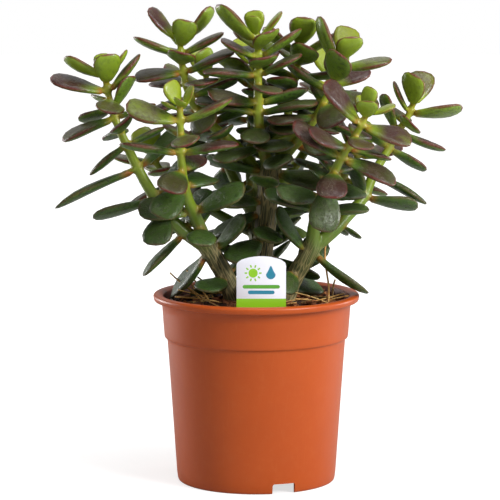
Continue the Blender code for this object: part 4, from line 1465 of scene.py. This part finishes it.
# --------------------------------------------------------------------------- label
@dataclass
class PlantLabel:
    """The push-in label: an arched white card with a plain printed care panel."""

    card: Material
    inks: dict[str, Material]
    low: Vector
    high: Vector
    head: float
    rim: float
    drop: float = 3.6 * MM
    stake_width: float = 12.0 * MM
    proud: float = 0.04 * MM  # how far the print stands off the card
    sunk: float = 0.1 * MM  # and how far it goes in

    def _outline(self) -> Outline:
        """The card's outline from the front.

        Returns:
            (x, z) points, anticlockwise from the stake's point.
        """
        middle = (self.low.x + self.high.x) / 2
        half = (self.high.x - self.low.x) / 2
        corner, stake = self.high.z - self.drop, self.stake_width / 2
        right = [(1.2 * MM, self.low.z), (stake, self.low.z + 12 * MM), (stake, self.head - 6 * MM),
                 (half - 1.2 * MM, self.head - 0.4 * MM), (half - 0.2 * MM, self.head + 0.9 * MM),
                 (half, self.head + 2.6 * MM), (half, corner - 1.6 * MM),
                 (half - 0.35 * MM, corner - 0.3 * MM), (half - 1.3 * MM, corner + 0.55 * MM)]
        right += [(x * half, corner + self.drop * (1 - (x * 0.93) ** 2))
                  for x in np.linspace(0.8, 0.0, 7)]
        left = [(-x, z) for x, z in reversed(right) if x > 1e-9]
        return [(middle + x, z) for x, z in (*right, *left)]

    def build(self) -> list[Piece]:
        """Makes the card and its print.

        Returns:
            The pieces.
        """
        card = self._plate("label_card", self._outline(), self.low.y, self.high.y)
        bevel = card.modifiers.new("edge", "BEVEL")
        bevel.width, bevel.segments, bevel.limit_method = 0.12 * MM, 2, "ANGLE"
        apply_all_modifiers(card)
        make_active(card)
        bpy.ops.object.shade_smooth_by_angle(angle=math.radians(40))
        pieces = [finish_piece(card, self.card, ("plant_label",))]
        middle, half = (self.low.x + self.high.x) / 2, (self.high.x - self.low.x) / 2
        low, high, top = self.head + 3.2 * MM, self.rim + 3.4 * MM, self.high.z
        band = [(middle - half, low), (middle + half, low), (middle + half, high), (middle - half, high)]
        sun = (middle - 4.6 * MM, top - 9.6 * MM)
        rays = [self._ray(sun, 2 * math.pi * k / 10, 3.3 * MM, 4.8 * MM) for k in range(10)]
        prints = {
            "lime": [self._mark("band", band), self._disc(sun, 2.6 * MM), *rays],
            "teal": [self._drop((middle + 5.4 * MM, top - 10.4 * MM), 2.7 * MM),
                     self._bar(middle, top - 20.6 * MM, 13.0 * MM)],
            "green": [self._bar(middle, top - 17.4 * MM, 19.0 * MM)],
        }
        for ink, shapes in prints.items():
            piece = join_pieces(f"label_print_{ink}", shapes)
            pieces.append(finish_piece(piece, self.inks[ink]))
        return pieces

    @staticmethod
    def _plate(name: str, outline: Outline, front: float, back: float) -> Piece:
        """Makes a flat plate cut to an outline.

        Args:
            name: the piece's name.
            outline: (x, z) points, anticlockwise from the front.
            front: the front face's Y.
            back: the back face's Y.

        Returns:
            The plate.
        """
        deselect_all()
        bpy.ops.mesh.primitive_circle_add(vertices=len(outline), radius=0.01, fill_type="NGON",
                                          location=(0, 0, 0), rotation=(math.pi / 2, 0, 0))
        plate = bpy.context.object
        apply_place(plate)
        plate.name = plate.data.name = name
        points = points_of(plate.data)
        turns = np.mod(np.arctan2(points[:, 2], points[:, 0]) + math.pi / 2, 2 * math.pi)
        order = np.argsort(turns, kind="stable")
        for index, (x, z) in zip(order, outline):
            points[index] = (x, front, z)
        reshape(plate.data, points)
        edit_all()
        bpy.ops.mesh.extrude_region_move(TRANSFORM_OT_translate={"value": (0.0, back - front, 0.0)})
        close_outwards()
        return plate

    def _mark(self, name: str, outline: Outline) -> Piece:
        """A printed shape on the card's front."""
        return self._plate(name, outline, self.low.y - self.proud, self.low.y + self.sunk)

    def _disc(self, centre: tuple[float, float], radius: float) -> Piece:
        """A printed dot."""
        turns = [2 * math.pi * k / 28 - math.pi / 2 for k in range(28)]
        return self._mark("dot", [polar(centre, radius, turn) for turn in turns])

    def _ray(self, centre: tuple[float, float], turn: float, near: float, far: float) -> Piece:
        """Makes a short printed stroke that points away from a centre.

        Args:
            centre: the centre.
            turn: its direction in radians.
            near: where it starts.
            far: where it ends.

        Returns:
            The stroke.
        """
        ahead = np.array((math.cos(turn), math.sin(turn)))
        aside = np.array((-ahead[1], ahead[0])) * 0.42 * MM
        spot = np.array(centre)
        corners = (spot + ahead * near - aside, spot + ahead * far - aside, spot + ahead * far + aside,
                   spot + ahead * near + aside)
        return self._mark("stroke", [tuple(corner) for corner in corners])

    def _drop(self, centre: tuple[float, float], radius: float) -> Piece:
        """Makes a printed drop of water, pointed at its top.

        Args:
            centre: the middle of its round part.
            radius: the round part's radius.

        Returns:
            The drop.
        """
        ring = []
        for turn in (math.radians(degrees) for degrees in range(-90, 270, 15)):
            upper = max(0.0, math.sin(turn))
            tall, slim = 1.0 + 0.85 * upper ** 3, 1.0 - 0.45 * upper
            ring.append((centre[0] + radius * slim * math.cos(turn),
                         centre[1] + radius * tall * math.sin(turn)))
        return self._mark("drop", ring)

    def _bar(self, x: float, z: float, width: float) -> Piece:
        """Makes a printed bar with round ends.

        Args:
            x: its middle's X.
            z: its middle's Z.
            width: its length without the ends.

        Returns:
            The bar.
        """
        turns = np.linspace(-math.pi / 2, math.pi / 2, 7)
        right = [polar((x + width / 2, z), 1.05 * MM, turn) for turn in turns]
        left = [(2 * x - px, 2 * z - pz) for px, pz in right]
        return self._mark("bar", [*right, *left])


# --------------------------------------------------------------------------- studio
@dataclass(frozen=True)
class Studio:
    """A white studio: pale floor, soft lights and the camera."""

    distance: float = 1.6
    pitch: float = 7.6
    aim: tuple[float, float, float] = (-0.00367, 0.0, 0.135)
    lens: float = 198.0
    ambient: float = 0.23
    lamps: tuple = (  # (name, place, size, watts)
        ("key_light", (1.05, -0.85, 0.80), 0.6, 26.0), ("fill_light", (-0.9, -1.3, 0.9), 1.0, 3.0),
        ("top_light", (0.15, -0.25, 1.5), 0.9, 12.0), ("back_light", (-0.1, 1.2, 0.9), 1.0, 2.0),
        ("left_edge_light", (-1.05, 0.75, 0.25), 0.5, 12.0),
        ("right_edge_light", (1.15, 0.5, 0.25), 0.4, 6.0))

    def build(self) -> None:
        """Makes the floor, the lights, the world and the camera."""
        deselect_all()
        bpy.ops.mesh.primitive_plane_add(size=8.0, location=(0.0, 0.0, -0.0002))
        floor = bpy.context.object
        floor.name = "studio_floor"
        apply_place(floor)
        material, wires, shader = new_material("studio_white")
        away = wires.add("VectorMath", {0: wires.add("TexCoord").outputs["Object"]}, operation="LENGTH")
        bright = wires.between(away.outputs["Value"], 0.15, 1.1, 0.68, 0.96)
        seen = wires.math("MULTIPLY", wires.add("LightPath").outputs["Is Camera Ray"], bright)
        wires.feed(shader, {"Base Color": (0.45, 0.45, 0.45, 1.0), "Roughness": 0.9,
                            "Specular IOR Level": 0.1, "Emission Color": (1.0, 1.0, 1.0, 1.0),
                            "Emission Strength": seen})
        floor.data.materials.append(material)
        world = bpy.data.worlds.new("studio_light")
        bpy.context.scene.world = world
        world.use_nodes = True
        sky = Wiring(world.node_tree)
        bright = sky.add("MapRange", {"Value": sky.add("LightPath").outputs["Is Camera Ray"],
                                      "To Min": self.ambient, "To Max": 1.0})
        sky.feed(world.node_tree.nodes["Background"], {0: (1.0, 1.0, 1.0, 1.0), 1: bright.outputs[0]})
        for name, place, size, watts in self.lamps:
            self._lamp(name, place, size, watts)
        bpy.context.scene.view_settings.view_transform = "Standard"
        camera = bpy.data.cameras.new("studio_camera")
        holder = bpy.data.objects.new("studio_camera", camera)
        bpy.context.scene.collection.objects.link(holder)
        tilt = math.radians(self.pitch)
        camera.lens, camera.sensor_width = self.lens, 36.0
        camera.clip_start, camera.clip_end = 0.05, 20.0
        x, y, z = self.aim
        holder.location = (x, y - self.distance * math.cos(tilt), z + self.distance * math.sin(tilt))
        holder.rotation_euler = (math.pi / 2 - tilt, 0.0, 0.0)
        bpy.context.scene.camera = holder

    @staticmethod
    def _lamp(name: str, place: tuple[float, float, float], size: float, power: float) -> None:
        """Makes a square soft light that faces the plant.

        Args:
            name: its name.
            place: where it hangs.
            size: its side.
            power: its watts.
        """
        lamp = bpy.data.lights.new(name, "AREA")
        lamp.size, lamp.energy = size, power
        holder = bpy.data.objects.new(name, lamp)
        bpy.context.scene.collection.objects.link(holder)
        holder.location = place
        facing = Vector((0.0, 0.0, 0.14)) - Vector(place)
        holder.rotation_euler = facing.to_track_quat("-Z", "Y").to_euler()


# --------------------------------------------------------------------------- the whole plant
class Cutting(Enum):
    """Each rooted cutting, with the sprays that its stem carries."""

    LEFT = ("outer_left", "front_left")
    CENTRE = ("centre", "centre_right", "right_top", "top_left")
    RIGHT = ("front_right", "outer_right")
    BACK = ("back_left", "back_centre", "back_right", "low_right", "low_left")


@dataclass
class JadePlant:
    """The stems and leaves of the four cuttings."""

    nodes: dict[str, Piece]
    effects: SurfaceEffects
    ground: float
    ripening: float = 62 * MM  # how far below its spray's top a leaf is old
    smallest: float = 8 * MM
    growth: float = 22 * MM  # how much longer than the smallest a grown leaf is

    def _date(self, surveys: dict[str, LeafSurvey], tip_height: float) -> None:
        """Gives every leaf its age, from 0 at a fresh tip to 1.

        Args:
            surveys: each CAD node's leaves.
            tip_height: the height of the plant's highest leaf base.
        """
        for name, survey in surveys.items():
            bases = [plan.spot(0.0)[2] for plan in survey.leaves]
            for plan, base in zip(survey.leaves, bases):
                drop = (max(bases) - base) / self.ripening
                grown = np.clip((plan.length - self.smallest) / self.growth, 0, 1)
                plan.age = float(np.clip(0.66 * drop + 0.20 * grown, 0, 1))
                if name.startswith("cutting"):
                    risen = (base - self.ground) / (tip_height - self.ground)
                    plan.age = float(np.clip(1.12 - 0.55 * risen, 0.62, 1))
            log.info("%s: %d leaves", name, len(survey.leaves))

    def build(self) -> None:
        """Measures every leaf, then makes the leaves and the stems."""
        names = [name for name in self.nodes if name.startswith(("cutting", "spray"))]
        surveys = {name: LeafSurvey(self.nodes[name]) for name in names}
        tip_height = max(plan.spot(0.0)[2] for survey in surveys.values() for plan in survey.leaves)
        self._date(surveys, tip_height)
        log.info("%d leaves in all", sum(len(survey.leaves) for survey in surveys.values()))
        foliage = Foliage(WaxyLeaf().build(self.effects), LeafBlade().build())
        stems = Stems(StemBark().build(self.effects), self.ground)
        for cutting in Cutting:
            side = cutting.name.lower()
            sprays = [f"spray_{name}" for name in cutting.value]
            foliage.grow(f"lower_leaves_{side}", f"cutting_{side}", surveys[f"cutting_{side}"].leaves)
            for spray in sprays:
                foliage.grow(spray.replace("spray", "leaves"), spray, surveys[spray].leaves)
            names = [f"cutting_{side}", *sprays]
            stems.build(f"stem_{side}", names, [surveys[name] for name in names], tip_height)


def build_pot_and_mix(effects: SurfaceEffects) -> None:
    """Makes the pot, the mix with what lies on it, and the label.

    Args:
        effects: the shared node groups.
    """
    _, pot_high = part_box("nursery_pot")
    NurseryPot(TerracottaPlastic().build(effects), pot_high.x, pot_high.z, POT_BASE_RADIUS).build()
    mix_low, mix_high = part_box("potting_mix")
    straw = CrumbledMatter("straw", (0.46, 0.22, 0.05), (0.92, 0.60, 0.21), 160.0, 0.6, True)
    bark = CrumbledMatter("bark_chip", (0.15, 0.044, 0.014), (0.66, 0.25, 0.07), 220.0, 0.8)
    perlite = CrumbledMatter("perlite", (0.50, 0.47, 0.42), (0.82, 0.80, 0.76), 500.0, 0.7)
    crumb = CrumbledMatter("peat_crumb", (0.016, 0.006, 0.004), (0.120, 0.042, 0.018), 300.0, 0.95)
    peat = CrumbledMatter("peat", (0.012, 0.004, 0.002), (0.170, 0.050, 0.018), 260.0, 0.95)
    kinds = {Bit.STRAW: straw, Bit.BARK: bark, Bit.PERLITE: perlite, Bit.CRUMB: crumb}
    matters = {kind: matter.build(effects) for kind, matter in kinds.items()}
    mix = PottingMix(matters, peat.build(effects), mix_high.x, mix_low.z, mix_high.z)
    mix.ground()
    for kind, count in ((Bit.CRUMB, 260), (Bit.BARK, 88), (Bit.STRAW, 16), (Bit.PERLITE, 9)):
        mix.scatter(kind, count)
    low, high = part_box("plant_label")
    colours = {"lime": (0.26, 0.56, 0.015), "teal": (0.02, 0.22, 0.33), "green": (0.10, 0.36, 0.03)}
    inks = {name: PrintedCard(f"ink_{name}", ink).build(effects) for name, ink in colours.items()}
    card = PrintedCard("label_white", (0.80, 0.80, 0.87)).build(effects)
    PlantLabel(card, inks, low, high, pot_high.z - LABEL_HEAD_BELOW_RIM, pot_high.z).build()


def main() -> None:
    """Builds everything, in order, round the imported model."""
    logging.basicConfig(level=logging.INFO, format="%(name)s: %(message)s")
    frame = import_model()
    effects = SurfaceEffects()
    build_pot_and_mix(effects)
    _, pot_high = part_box("nursery_pot")
    JadePlant(frame["nodes"], effects, pot_high.z - STEM_GROUND_BELOW_RIM).build()
    Studio().build()


if __name__ == "__main__":
    main()
